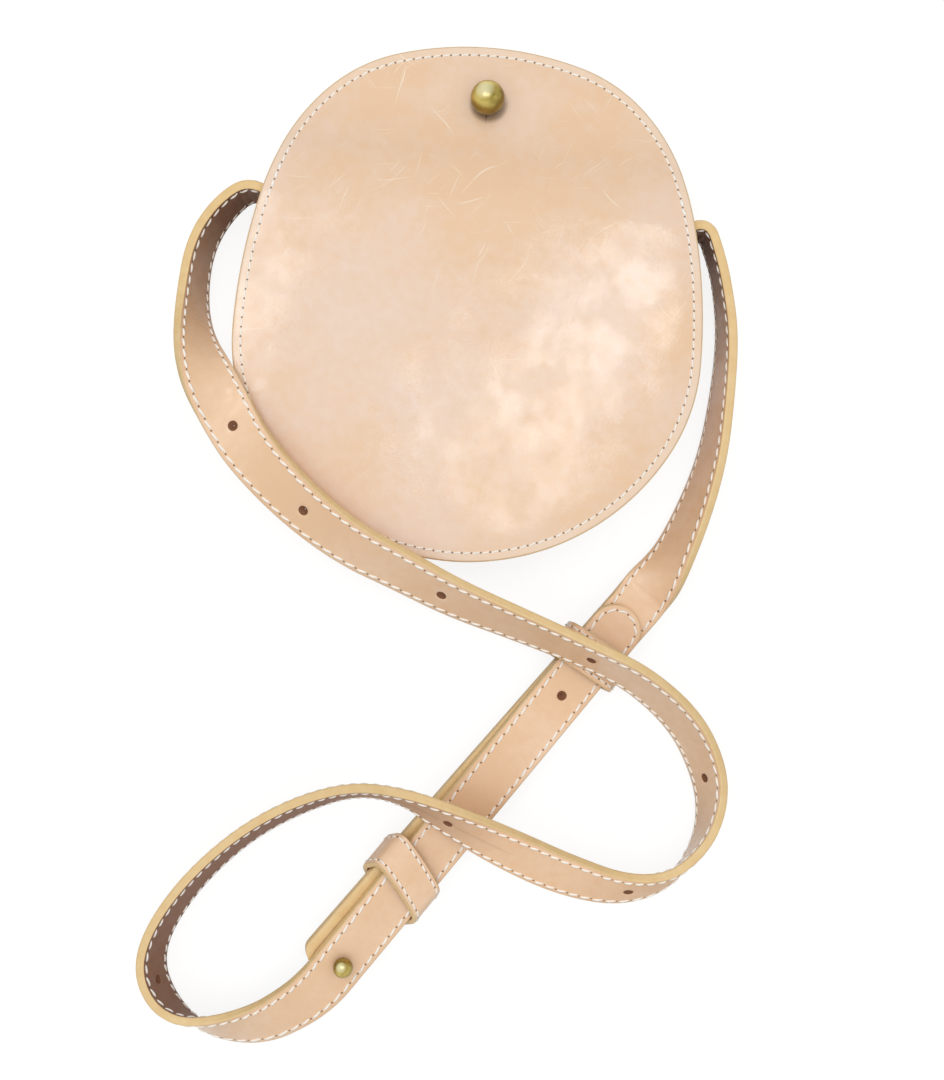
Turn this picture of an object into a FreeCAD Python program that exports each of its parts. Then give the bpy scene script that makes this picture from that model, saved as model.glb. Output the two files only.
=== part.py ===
"""Round leather crossbody bag, lying on its back with its strap laid out in loops.

X runs to the right, Y towards the mouth and Z up, away from the table. The origin is on the back
panel's resting face, on the bag's middle line at its widest level. Lengths are in millimetres.
"""
import FreeCAD, Part
import math
import os

import Sketcher
from FreeCAD import Placement, Rotation, Vector

os.makedirs("parts", exist_ok=True)
doc = FreeCAD.newDocument("circle_bag")
sheet = doc.addObject("Spreadsheet::Sheet", "Sizes")

SIZES = {
    # outline of the two face panels: eight tangent arcs
    "bag_width": 181.0,           # across the widest level
    "crown_height": 118.4,        # widest level to the top edge
    "side_radius": 218.0,
    "shoulder_step": 27.5,        # half the width less the shoulder's radius
    "crown_radius": 128.0,
    "heel_step": 18.1,            # half the width less the radius just below the widest level
    "base_gain": 2.6,             # base arc's radius beyond half the width
    # leathers
    "panel_thickness": 2.2,
    "lining_thickness": 1.0,
    "gusset_thickness": 1.6,
    "seam_width": 7.0,            # panel edge to the gusset's wall
    "strap_exit": 20.0,           # from the gusset's two ends up to the mouth's fold
    # mouth
    "mouth_depth": 56.9,          # top edge down to the line the mouth folds on
    "fold_gap": 0.3,
    "fold_land": 1.5,             # flat leather between the fold and the bend
    "bend_run": 28.0,             # length in plan of the bends towards the stud
    "back_rise": 10.0,            # how far the stud pulls the back panel up
    # closure stud
    "stud_drop": 21.4,            # top edge down to the stud
    "ball_diameter": 13.2,
    "neck_diameter": 6.0,
    "flange_diameter": 12.0,
    "flange_thickness": 1.2,
    "flap_gap": 0.4,              # free height of the flap on the stud's flange
    "ball_sink": 0.4,             # the ball's lowest point below the flap's face
    "screw_diameter": 4.0,
    "screw_head_diameter": 9.6,
    "screw_head_thickness": 1.2,
    "screw_reach": 6.0,           # thread inside the stud
    "lip_diameter": 23.0,         # leather around the buttonhole that gives way
    "slit_length": 6.0,
    "slit_width": 0.7,
    # strap
    "strap_width": 21.0,
    "strap_thickness": 3.6,
    "glue_gap": 0.1,              # between the strap's two leathers
    "strap_side_gap": 0.5,        # strap's edges to the linings inside the bag
    "layer_gap": 0.2,             # between the doubled straps
    "short_overhang": 7.5,        # short strap's end past the strap stud
    "flat_margin": 5.0,           # straight strap beyond the doubled stretch
    "under_shift": 1.6,           # short strap's middle line to the left of the long one's
    "stud_lean": 18.0,            # degrees the doubled stretch leans to the right at the strap stud
    "tip_lean": 6.0,              # and at the tip
    "hole_diameter": 4.6,
    "hole_pitch": 68.4,
    # strap stud
    "small_ball_diameter": 7.8,
    "small_neck_diameter": 3.8,
    "small_flange_diameter": 8.6,
    "small_flange_thickness": 0.9,
    "small_screw_diameter": 2.4,
    "small_head_diameter": 8.0,
    "small_head_thickness": 1.0,
    # keepers
    "keeper_length": 15.5,
    "keeper_wall": 1.8,
    "keeper_gap": 0.8,
    "keeper_side_gap": 0.6,
    "keeper_corner": 2.8,
    "keeper_lift": 0.3,           # keepers above the table
    "stud_keeper_place": 39.0,    # strap stud to the middle of the nearer keeper
    "tip_keeper_place": 24.0,     # strap's tip to the middle of the other keeper
    # fits
    "fit_gap": 0.05,
    "hole_gap": 0.4,
    "overrun": 10.0,              # how far cutting shapes run past what they cut
}
for row, (alias, number) in enumerate(SIZES.items(), start=1):
    sheet.set(f"A{row}", alias)
    sheet.set(f"B{row}", str(number))
    sheet.setAlias(f"B{row}", alias)
doc.recompute()
size = {alias: float(sheet.get(alias)) for alias in SIZES}

# lengths worked out from the sizes, as formulas for the document
HALF = "Sizes.bag_width / 2"
SHOULDER = f"({HALF} - Sizes.shoulder_step)"
HEEL = f"({HALF} - Sizes.heel_step)"
STUD_Y = "(Sizes.crown_height - Sizes.stud_drop)"
FOLD_Y = "(Sizes.crown_height - Sizes.mouth_depth)"
BOARD = "(Sizes.panel_thickness + Sizes.lining_thickness)"
CLEAR = "(Sizes.strap_width + 2 * Sizes.strap_side_gap)"
DEPTH = f"(2 * {BOARD} + {CLEAR})"
FLAP_FACE = f"(Sizes.back_rise + 2 * {BOARD} + Sizes.flange_thickness + Sizes.flap_gap)"
FRONT_DROP = f"({DEPTH} - {FLAP_FACE})"
BACK_TOP = f"(Sizes.back_rise + {BOARD})"
BALL_LEVEL = f"({FLAP_FACE} + Sizes.ball_diameter / 2 - Sizes.ball_sink)"
BEND_START = f"({FOLD_Y} + Sizes.fold_land)"
FAR = "(2 * Sizes.bag_width)"
STACK = "(Sizes.strap_thickness + Sizes.layer_gap)"
KEEPER_HIGH = "(Sizes.strap_thickness / 2 + Sizes.keeper_gap + Sizes.keeper_wall)"
KEEPER_LOW = f"({STACK} + {KEEPER_HIGH})"
KEEPER_SIDE = "(Sizes.strap_width / 2 + Sizes.keeper_side_gap + Sizes.keeper_wall)"
TAIL_LEVEL = (f"(Sizes.keeper_lift + ({KEEPER_LOW} - Sizes.keeper_corner) * cos(Sizes.stud_lean)"
              f" + ({KEEPER_SIDE} - Sizes.keeper_corner) * sin(Sizes.stud_lean) + Sizes.keeper_corner)")

# and as numbers, for shapes that are drawn point by point
half_width = size["bag_width"] / 2
shoulder_radius = half_width - size["shoulder_step"]
heel_radius = half_width - size["heel_step"]
fold_y = size["crown_height"] - size["mouth_depth"]
board = size["panel_thickness"] + size["lining_thickness"]
depth = 2 * board + size["strap_width"] + 2 * size["strap_side_gap"]
flap_face = size["back_rise"] + 2 * board + size["flange_thickness"] + size["flap_gap"]
front_drop = depth - flap_face
stack = size["strap_thickness"] + size["layer_gap"]
keeper_high = size["strap_thickness"] / 2 + size["keeper_gap"] + size["keeper_wall"]
keeper_low = stack + keeper_high
keeper_side = size["strap_width"] / 2 + size["keeper_side_gap"] + size["keeper_wall"]
stud_lean = math.radians(size["stud_lean"])
tail_level = (size["keeper_lift"] + (keeper_low - size["keeper_corner"]) * math.cos(stud_lean)
              + (keeper_side - size["keeper_corner"]) * math.sin(stud_lean) + size["keeper_corner"])

START_INDEX, END_INDEX, CENTRE_INDEX = 1, 2, 3    # points of a sketch line or arc
X_AXIS_INDEX, Y_AXIS_INDEX = -1, -2               # the sketch's own axes
ORIGIN = (X_AXIS_INDEX, START_INDEX)


def relate(sketch, kind, *where):
    """Add a relation to a sketch, such as two arcs that meet tangentially; give back its row."""
    return sketch.addConstraint(Sketcher.Constraint(kind, *where))


def constrain(sketch, kind, where, number, formula):
    """Dimension a sketch and bind the dimension to the sheet."""
    row = relate(sketch, kind, *where, number)
    sketch.setExpression(f"Constraints[{row}]", formula)


def locate(sketch, kind, point, number, formula):
    """Hold a sketch point at a signed distance from the origin, along X or along Y."""
    if number < 0:
        constrain(sketch, kind, (*point, *ORIGIN), -number, f"-({formula})")
    else:
        constrain(sketch, kind, (*ORIGIN, *point), number, formula)


def place(part, x="0", y="0", z="0"):
    """Bind a part's position to the sheet."""
    for axis, formula in zip("xyz", (x, y, z)):
        part.setExpression(f"Placement.Base.{axis}", formula)
    return part


def box(name, length, width, height, x="0", y="0", z="0"):
    part = doc.addObject("Part::Box", name)
    for side, formula in (("Length", length), ("Width", width), ("Height", height)):
        part.setExpression(side, formula)
    return place(part, x, y, z)


def cylinder(name, diameter, height, x="0", y="0", z="0"):
    part = doc.addObject("Part::Cylinder", name)
    part.setExpression("Radius", f"({diameter}) / 2")
    part.setExpression("Height", height)
    return place(part, x, y, z)


def sphere(name, diameter, x="0", y="0", z="0"):
    part = doc.addObject("Part::Sphere", name)
    part.setExpression("Radius", f"({diameter}) / 2")
    return place(part, x, y, z)


def boolean(kind, name, base, tool):
    part = doc.addObject(f"Part::{kind}", name)
    part.Base, part.Tool = base, tool
    return part


def cut(name, base, *tools):
    """Take the tools away from the base, one after the other; the last cut has the name."""
    for number, tool in enumerate(tools):
        last = number == len(tools) - 1
        base = boolean("Cut", name if last else f"{name}_{tool.Name}", base, tool)
    return base


def fuse(name, *parts):
    part = doc.addObject("Part::MultiFuse", name)
    part.Shapes = list(parts)
    return part


# The face panels' egg outline. Its arcs meet tangentially, so the shoulder's centre lies where two
# circles about the side's and the crown's centres cross, and the base's centre on the middle line.
def egg_arcs(inset):
    """Centre, radius and first and last angle of each arc, anticlockwise from the crown."""
    side_x = half_width - size["side_radius"]
    crown_y = size["crown_height"] - size["crown_radius"]
    heel_x = half_width - heel_radius
    base = half_width + size["base_gain"]
    base_y = math.sqrt((base - heel_radius) ** 2 - heel_x ** 2)
    to_side = size["side_radius"] - shoulder_radius
    to_crown = size["crown_radius"] - shoulder_radius
    span = math.hypot(side_x, crown_y)
    along = (to_side ** 2 - to_crown ** 2 + span ** 2) / (2 * span)
    off = math.sqrt(to_side ** 2 - along ** 2)
    shoulder_x = side_x + (along * -side_x - off * crown_y) / span
    shoulder_y = (along * crown_y - off * side_x) / span
    rise = math.atan2(shoulder_y, shoulder_x - side_x)
    lean = math.atan2(shoulder_x, shoulder_y - crown_y)
    heel = math.atan2(base_y, heel_x)
    right, top, left, full = 0.0, math.pi / 2, math.pi, 2 * math.pi
    arcs = [
        ((0, crown_y), size["crown_radius"], top - lean, top + lean),
        ((-shoulder_x, shoulder_y), shoulder_radius, top + lean, left - rise),
        ((-side_x, 0), size["side_radius"], left - rise, left),
        ((-heel_x, 0), heel_radius, left, left + heel),
        ((0, base_y), base, left + heel, full - heel),
        ((heel_x, 0), heel_radius, full - heel, full),
        ((side_x, 0), size["side_radius"], right, rise),
        ((shoulder_x, shoulder_y), shoulder_radius, rise, top - lean),
    ]
    return [(centre, radius - inset, first, last) for centre, radius, first, last in arcs]


def outline(name, inset=0.0, inset_formula="0"):
    """Sketch of the egg outline, set in from the panel's edge."""
    sketch = doc.addObject("Sketcher::SketchObject", name)
    arcs = egg_arcs(inset)
    for (x, y), radius, first, last in arcs:
        circle = Part.Circle(Vector(x, y, 0), Vector(0, 0, 1), radius)
        sketch.addGeometry(Part.ArcOfCircle(circle, first, last), False)
    for arc in range(len(arcs)):
        following = (arc + 1) % len(arcs)
        relate(sketch, "Tangent", arc, END_INDEX, following, START_INDEX)
    radii = ("Sizes.crown_radius", SHOULDER, "Sizes.side_radius", HEEL, f"{HALF} + Sizes.base_gain", HEEL,
             "Sizes.side_radius", SHOULDER)
    for arc, formula in enumerate(radii):
        constrain(sketch, "Radius", (arc,), arcs[arc][1], f"{formula} - {inset_formula}")
    crown, left_side, left_heel, right_heel, right_side = 0, 2, 3, 5, 6
    relate(sketch, "PointOnObject", crown, CENTRE_INDEX, Y_AXIS_INDEX)
    locate(sketch, "DistanceY", (crown, CENTRE_INDEX), arcs[crown][0][1],
           "Sizes.crown_height - Sizes.crown_radius")
    for side, sign in ((left_side, "-1"), (right_side, "1")):
        locate(sketch, "DistanceX", (side, CENTRE_INDEX), arcs[side][0][0],
               f"{sign} * ({HALF} - Sizes.side_radius)")
    for arc in (left_side, right_side, left_heel, right_heel):
        relate(sketch, "PointOnObject", arc, CENTRE_INDEX, X_AXIS_INDEX)
    return sketch


def extrude(name, sketch, length, z="0"):
    part = doc.addObject("Part::Extrusion", name)
    part.Base, part.DirMode, part.Solid = sketch, "Normal", True
    part.setExpression("LengthFwd", length)
    return place(part, z=z)


panel_outline = outline("panel_outline")
face_block = extrude("face_block", panel_outline, DEPTH)


# A leather sheet that leaves its flat at the mouth in an S-bend of two equal arcs and ends parallel
# to the flat. The section lies between two depths below the sheet's outer face.
def bend_sketch(name, turned, first, first_formula, drop, drop_formula, depths, depth_formulas):
    sketch = doc.addObject("Sketcher::SketchObject", name)
    upright = Rotation(Vector(0, 1, 0), Vector(0, 0, 1), Vector(1, 0, 0), "ZXY")
    if turned:
        upright = Rotation(Vector(0, 1, 0), Vector(0, 0, -1), Vector(-1, 0, 0), "ZXY")
    sketch.Placement = Placement(Vector(0, 0, depth if turned else 0), upright)
    if turned:
        sketch.setExpression("Placement.Base.z", DEPTH)
    run, bend = size["bend_run"], fold_y + size["fold_land"]
    radius = (run ** 2 + drop ** 2) / (4 * drop)
    turn = 2 * math.atan2(drop, run)
    last = size["crown_height"] + size["overrun"]
    low = depth - drop
    lines = []
    for below in depths:
        near = Part.Circle(Vector(bend, depth - radius, 0), Vector(0, 0, 1), radius - below)
        far = Part.Circle(Vector(bend + run, low + radius, 0), Vector(0, 0, 1), radius + below)
        lines.append([
            Part.LineSegment(Vector(first, depth - below, 0), Vector(bend, depth - below, 0)),
            Part.ArcOfCircle(near, math.pi / 2 - turn, math.pi / 2),
            Part.ArcOfCircle(far, 3 * math.pi / 2 - turn, 3 * math.pi / 2),
            Part.LineSegment(Vector(bend + run, low - below, 0), Vector(last, low - below, 0))])
    outer, inner = lines
    outer_rows = sketch.addGeometry(outer, False)
    inner_rows = sketch.addGeometry(inner, False)
    far_end, near_end = sketch.addGeometry(
        [Part.LineSegment(outer[3].EndPoint, inner[3].EndPoint),
         Part.LineSegment(outer[0].StartPoint, inner[0].StartPoint)], False)
    bend_radius = f"((Sizes.bend_run ^ 2 + {drop_formula} ^ 2) / (4 * {drop_formula}))"
    for rows, below, formula in zip((outer_rows, inner_rows), depths, depth_formulas):
        flat, near, far, landing = rows
        relate(sketch, "Tangent", flat, END_INDEX, near, END_INDEX)
        relate(sketch, "Tangent", near, START_INDEX, far, START_INDEX)
        relate(sketch, "Tangent", far, END_INDEX, landing, START_INDEX)
        for line in (flat, landing):
            relate(sketch, "Horizontal", line)
        constrain(sketch, "Radius", (near,), radius - below, f"{bend_radius} - {formula}")
        constrain(sketch, "Radius", (far,), radius + below, f"{bend_radius} + {formula}")
        locate(sketch, "DistanceX", (flat, END_INDEX), bend, BEND_START)
        locate(sketch, "DistanceY", (flat, END_INDEX), depth - below, f"{DEPTH} - {formula}")
        locate(sketch, "DistanceY", (landing, END_INDEX), low - below,
               f"{DEPTH} - {drop_formula} - {formula}")
        relate(sketch, "Coincident", far_end, START_INDEX if rows is outer_rows else END_INDEX,
                                                 landing, END_INDEX)
        relate(sketch, "Coincident", near_end, START_INDEX if rows is outer_rows else END_INDEX,
                                                 flat, START_INDEX)
    for line in (far_end, near_end):
        relate(sketch, "Vertical", line)
    locate(sketch, "DistanceX", (near_end, START_INDEX), first, first_formula)
    locate(sketch, "DistanceX", (far_end, START_INDEX), last, "Sizes.crown_height + Sizes.overrun")
    return sketch


def bent_sheet(name, *section):
    """The part of a bent leather that lies inside the egg outline."""
    blank = extrude(f"{name}_blank", bend_sketch(f"{name}_section", *section), FAR)
    blank.Symmetric = True
    return boolean("Common", f"{name}_cut_out", face_block, blank)


panel_depths = (0.0, size["panel_thickness"])
panel_formulas = ("0", "Sizes.panel_thickness")
lining_depths = (size["panel_thickness"], board)
lining_formulas = ("Sizes.panel_thickness", BOARD)
board_depths = (0.0, board)
board_formulas = ("0", BOARD)
below_base = (-size["bag_width"], "-Sizes.bag_width")
above_fold = (fold_y + size["fold_gap"] / 2, f"{FOLD_Y} + Sizes.fold_gap / 2")
back_bend = (size["back_rise"], "Sizes.back_rise")
front_bend = (front_drop, FRONT_DROP)

# Back panel and its lining, with the stud's screw let in from behind.
screw_hole = cylinder("screw_hole", "Sizes.screw_diameter + Sizes.hole_gap", DEPTH, y=STUD_Y)
screw_recess = cylinder("screw_recess", "Sizes.screw_head_diameter + Sizes.hole_gap",
                        "Sizes.screw_head_thickness + Sizes.overrun", y=STUD_Y,
                        z="Sizes.back_rise - Sizes.overrun")
back_sheet = bent_sheet("back_sheet", True, *below_base, *back_bend, panel_depths, panel_formulas)
back_panel = cut("back_panel", back_sheet, screw_recess, screw_hole)
back_lining_sheet = bent_sheet("back_lining_sheet", True, *below_base, *back_bend, lining_depths,
                               lining_formulas)
back_lining = cut("back_lining", back_lining_sheet, screw_hole)

# Front panel and its lining, sewn down as far as the fold.
def flat_sheet(name, thickness, z):
    slab = box(f"{name}_slab", FAR, f"Sizes.bag_width + {FOLD_Y} - Sizes.fold_gap / 2", thickness,
               x=f"-{FAR} / 2", y="-Sizes.bag_width", z=z)
    return boolean("Common", name, face_block, slab)


front_panel = flat_sheet("front_panel", "Sizes.panel_thickness", f"{DEPTH} - Sizes.panel_thickness")
front_lining = flat_sheet("front_lining", "Sizes.lining_thickness", f"{DEPTH} - {BOARD}")

# Free upper part of the front, which opens at the fold, and the buttonhole's lips in it.
lip_disc = cylinder("lip_disc", "Sizes.lip_diameter", DEPTH, y=STUD_Y)
mouth_sheet = bent_sheet("mouth_sheet", False, *above_fold, *front_bend, panel_depths, panel_formulas)
front_mouth = cut("front_mouth", mouth_sheet, lip_disc)
mouth_lining_sheet = bent_sheet("mouth_lining_sheet", False, *above_fold, *front_bend, lining_depths,
                                lining_formulas)
front_mouth_lining = cut("front_mouth_lining", mouth_lining_sheet, lip_disc)
lip_sheet = bent_sheet("lip_sheet", False, *above_fold, *front_bend, board_depths, board_formulas)
lip_core = cylinder("lip_core", "Sizes.lip_diameter - Sizes.fit_gap", DEPTH, y=STUD_Y)
neck_hole = cylinder("neck_hole", "Sizes.neck_diameter + 2 * Sizes.hole_gap", DEPTH, y=STUD_Y)
slit = box("slit", "Sizes.slit_width", "Sizes.slit_length", DEPTH, x="-Sizes.slit_width / 2",
           y=f"{STUD_Y} - Sizes.slit_length")
lip_blank = boolean("Common", "lip_blank", lip_sheet, lip_core)
buttonhole_lips = cut("buttonhole_lips", lip_blank, neck_hole, slit)

# Gusset: a band set in from the panels' edges, with a flange turned out along each panel.
gusset_blank = extrude("gusset_blank", panel_outline, CLEAR, z=BOARD)
wall_outside = outline("wall_outside", size["seam_width"], "Sizes.seam_width")
wall_inside = outline("wall_inside", size["seam_width"] + size["gusset_thickness"],
                      "(Sizes.seam_width + Sizes.gusset_thickness)")
gusset_inside = extrude("gusset_inside", wall_inside, CLEAR, z=BOARD)
groove_height = f"({CLEAR} - 2 * Sizes.gusset_thickness)"
groove_level = f"{BOARD} + Sizes.gusset_thickness"
groove_slab = box("groove_slab", FAR, FAR, groove_height, x=f"-{FAR} / 2", y=f"-{FAR} / 2", z=groove_level)
groove_core = extrude("groove_core", wall_outside, groove_height, z=groove_level)
groove = cut("groove", groove_slab, groove_core)
mouth_clearing = box("mouth_clearing", FAR, FAR, DEPTH, x=f"-{FAR} / 2", y=f"{FOLD_Y} - Sizes.strap_exit")
gusset = cut("gusset", gusset_blank, gusset_inside, groove, mouth_clearing)

# Closure stud: a turned ball on a neck and flange, held by a screw through the back panel.
stud_flange = cylinder("stud_flange", "Sizes.flange_diameter", "Sizes.flange_thickness", y=STUD_Y,
                       z=BACK_TOP)
stud_neck = cylinder("stud_neck", "Sizes.neck_diameter", f"{BALL_LEVEL} - {BACK_TOP}", y=STUD_Y,
                     z=BACK_TOP)
stud_ball = sphere("stud_ball", "Sizes.ball_diameter", y=STUD_Y, z=BALL_LEVEL)
stud_bore = cylinder("stud_bore", "Sizes.screw_diameter + 2 * Sizes.fit_gap",
                     "Sizes.screw_reach + Sizes.fit_gap", y=STUD_Y, z=BACK_TOP)
closure_stud = cut("closure_stud", fuse("stud_body", stud_flange, stud_neck, stud_ball), stud_bore)
screw_head = cylinder("screw_head", "Sizes.screw_head_diameter", "Sizes.screw_head_thickness",
                      y=STUD_Y, z="Sizes.back_rise")
screw_shank = cylinder("screw_shank", "Sizes.screw_diameter", f"{BOARD} + Sizes.screw_reach",
                       y=STUD_Y, z="Sizes.back_rise")
closure_screw = fuse("closure_screw", screw_head, screw_shank)

# The strap's route, chosen by hand: across as a share of half the bag's width, along as a share of
# the fold's height above the widest level and of half the width below it, the roll of the strap's
# face in degrees (zero lies flat with the face up, positive tips the face to the right of the run)
# and the lift of its lowest edge above the table as a share of the bag's depth. The long strap
# leaves the left side, climbs over the rim, crosses the doubled stretch twice and comes round to
# the strap stud; the short one leaves the right side.
long_route_shares = [
    (-0.87, -0.01, -90, 0.13), (-0.87, 0.28, -90, 0.13), (-0.84, 0.54, -90, 0.13), (-0.80, 0.78, -90, 0.13),
    (-0.98, 0.94, -88, 0.13), (-1.11, 0.78, -82, 0.09), (-1.20, 0.53, -78, 0.04), (-1.21, 0.19, -74, 0.11),
    (-1.16, -0.07, -58, 0.58), (-1.07, -0.23, -26, 1.05), (-0.985, -0.37, 0, 1.08), (-0.87, -0.53, 18, 1.02),
    (-0.65, -0.73, 30, 0.94), (-0.42, -0.88, 38, 0.85), (-0.21, -0.96, 42, 0.74), (0.03, -1.07, 45, 0.67),
    (0.32, -1.16, 47, 0.65), (0.64, -1.27, 49, 0.66), (0.86, -1.36, 52, 0.58), (1.08, -1.53, 56, 0.28),
    (1.21, -1.73, 60, 0.04), (1.23, -1.90, 70, 0.00), (1.21, -2.07, 84, 0.00), (1.08, -2.22, 101, 0.00),
    (0.87, -2.29, 121, 0.11), (0.61, -2.23, 132, 0.30), (0.36, -2.13, 132, 0.48), (0.09, -2.01, 119, 0.59),
    (-0.10, -1.94, 100, 0.50), (-0.32, -1.93, 94, 0.19), (-0.56, -2.03, 102, 0.00), (-0.79, -2.18, 105, 0.00),
    (-1.00, -2.40, 104, 0.00), (-1.14, -2.64, 102, 0.00), (-1.16, -2.82, 98, 0.00), (-1.06, -2.975, 86, 0.00),
    (-0.88, -3.05, 66, 0.00), (-0.66, -3.03, 46, 0.03), (-0.49, -2.945, 28, 0.17)]
short_route_shares = [
    (0.87, -0.01, 90, 0.13), (0.87, 0.29, 90, 0.13), (0.84, 0.52, 90, 0.13), (0.79, 0.75, 90, 0.13),
    (0.98, 0.94, 88, 0.13), (1.05, 0.71, 86, 0.11), (1.09, 0.53, 85, 0.05), (1.13, 0.24, 84, 0.00),
    (1.13, -0.09, 80, 0.00), (1.11, -0.37, 76, 0.00), (1.045, -0.63, 66, 0.00), (0.95, -0.86, 42, 0.05)]
tip_shares = (0.81, -1.065)                       # the long strap's rounded end
stud_shares = (-0.325, -2.703)                    # the strap stud
tail_shares = (0.56, 0.22, 0.0)                   # of the way from the tip to the stud
under_shares = (0.22, 0.56, 0.89)                 # the same for the short strap below
hole_shares = (0.273, 0.437, 0.517, 0.580, 0.653, 0.716, 0.778, 0.820)   # of the length, from the tip
sections_per_span = 2

tip = Vector(*tip_shares) * half_width
strap_stud_spot = Vector(*stud_shares) * half_width
doubled = (strap_stud_spot - tip).Length
along_tail = (strap_stud_spot - tip) / doubled
across_tail = Vector(-along_tail.y, along_tail.x, 0)
short_end = doubled + size["short_overhang"]


def lean_at(distance):
    """Lean of the doubled stretch, which grows evenly from the tip to the stud."""
    return size["tip_lean"] + (size["stud_lean"] - size["tip_lean"]) * distance / doubled


def leaning(distance):
    """Width direction and face normal of the doubled stretch."""
    lean = math.radians(lean_at(distance))
    up = Vector(0, 0, 1)
    return across_tail * math.cos(lean) - up * math.sin(lean), up * math.cos(lean) + across_tail * math.sin(lean)


def route(shares, straight, sense, below, aside):
    """Poles of a strap: plan places, and roll with lift. The straight stretch is added at the end, where
    the strap's middle lies below and to the left of the long strap's."""
    plan = [Vector(x * half_width, y * (fold_y if y > 0 else half_width), 0) for x, y, roll, rise in shares]
    manner = [Vector(roll, rise * depth, 0) for x, y, roll, rise in shares]
    for distance in straight:
        wide, normal = leaning(distance)
        middle = tip + along_tail * distance - normal * below - wide * aside
        reach = size["strap_width"] * abs(wide.z) + size["strap_thickness"] * normal.z
        plan.append(Vector(middle.x, middle.y, 0))
        manner.append(Vector(sense * lean_at(distance), tail_level + middle.z - reach / 2, 0))
    return plan, manner


def spline(poles):
    """Quadratic B-spline on the poles, clamped at both ends, with even knots."""
    spans = len(poles) - 2
    curve = Part.BSplineCurve()
    curve.buildFromPolesMultsKnots(poles, [3] + [1] * (spans - 1) + [3], list(range(spans + 1)), False, 2)
    return curve


def frames(poles):
    """Centre, width direction and face normal of the strap at even steps along its route."""
    plan, manner = (spline(column) for column in poles)
    steps = (len(poles[0]) - 2) * sections_per_span
    rows = []
    for step in range(steps + 1):
        at = step / sections_per_span
        here, manners = plan.value(at), manner.value(at)
        heading = plan.tangent(at)[0]
        right = Vector(heading.y, -heading.x, 0)
        roll, lift = math.radians(manners.x), manners.y
        reach = size["strap_width"] * abs(math.sin(roll)) + size["strap_thickness"] * abs(math.cos(roll))
        centre = Vector(here.x, here.y, lift + reach / 2)
        up = Vector(0, 0, 1)
        rows.append((centre, right * math.cos(roll) - up * math.sin(roll),
                     up * math.cos(roll) + right * math.sin(roll)))
    return rows


def strap_leather(rows, low, high):
    """The strap's section between two heights along its normal, carried straight from frame to frame."""
    sections = []
    for centre, wide, normal in rows:
        edge = wide * (size["strap_width"] / 2)
        sections.append([centre + edge + normal * high, centre - edge + normal * high,
                         centre - edge + normal * low, centre + edge + normal * low])
    faces = []
    for near, far in zip(sections, sections[1:]):
        for corner in range(len(near)):
            edges = [Part.makeLine(section[corner], section[corner - 1]) for section in (near, far)]
            faces.append(Part.makeRuledSurface(*edges))
    for end in (sections[0], sections[-1]):
        faces.append(Part.Face(Part.makePolygon(end + end[:1])))
    skin = Part.makeShell(faces)
    skin.sewShape()
    leather = Part.makeSolid(skin)
    if leather.Volume < 0:
        leather.reverse()
    return leather


def hole_cutters(rows, distances):
    """A round punch across the strap at each distance from its far end."""
    punches = []
    for distance in distances:
        left = distance
        for (near, wide, normal), (next_near, *rest) in zip(rows[::-1], rows[-2::-1]):
            step = next_near - near
            if left <= step.Length:
                middle = near + step * (left / step.Length) - normal * size["strap_thickness"]
                punches.append(Part.makeCylinder(size["hole_diameter"] / 2, 2 * size["strap_thickness"],
                                                 middle, normal))
                break
            left -= step.Length
    return punches


def rounded_end():
    """What is cut off the strap's tip to leave it round."""
    radius, height = size["strap_width"] / 2, size["overrun"]
    block = Part.makeBox(2 * (radius + height), radius + height, 2 * height,
                         Vector(-radius - height, -radius, -height))
    cutter = block.cut(Part.makeCylinder(radius, 2 * height, Vector(0, -radius, -height)))
    wide, normal = leaning(0)
    cutter.Placement = Placement(tip + Vector(0, 0, tail_level), Rotation(wide, along_tail * -1, normal, "ZXY"))
    return cutter


def strap(name, shape):
    part = doc.addObject("Part::Feature", name)
    part.Shape = shape
    return part


half_thickness, half_glue = size["strap_thickness"] / 2, size["glue_gap"] / 2
tail_places = [short_end + size["flat_margin"], short_end - size["flat_margin"]]
tail_places += [share * doubled for share in tail_shares]
long_rows = frames(route(long_route_shares, tail_places, 1, 0, 0))
long_length = sum((b[0] - a[0]).Length for a, b in zip(long_rows, long_rows[1:]))
holes = [doubled - number * size["hole_pitch"] for number in range(3)]
holes += [share * long_length for share in hole_shares]
long_tools = hole_cutters(long_rows, holes) + [rounded_end()]
strap_long = strap("strap_long", strap_leather(long_rows, half_glue, half_thickness).cut(long_tools))
strap_long_lining = strap("strap_long_lining",
                          strap_leather(long_rows, -half_thickness, -half_glue).cut(long_tools))

under_places = [-size["flat_margin"], size["flat_margin"]]
under_places += [share * doubled for share in under_shares] + [short_end]
short_rows = frames(route(short_route_shares, under_places, -1, stack, size["under_shift"]))
stud_middle, stud_normal = strap_stud_spot + Vector(0, 0, tail_level), leaning(doubled)[1]
stud_hole = Part.makeCylinder((size["small_screw_diameter"] + size["hole_gap"]) / 2, 2 * size["overrun"],
                              stud_middle - stud_normal * size["overrun"], stud_normal)
seat_depth = half_thickness + size["layer_gap"] + size["small_flange_thickness"]
stud_seat = Part.makeCylinder((size["small_flange_diameter"] + size["hole_gap"]) / 2, size["overrun"],
                              stud_middle - stud_normal * seat_depth, stud_normal)
strap_short = strap("strap_short",
                    strap_leather(short_rows, half_glue, half_thickness).cut([stud_hole, stud_seat]))
strap_short_lining = strap("strap_short_lining",
                           strap_leather(short_rows, -half_thickness, -half_glue).cut([stud_hole]))

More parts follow.
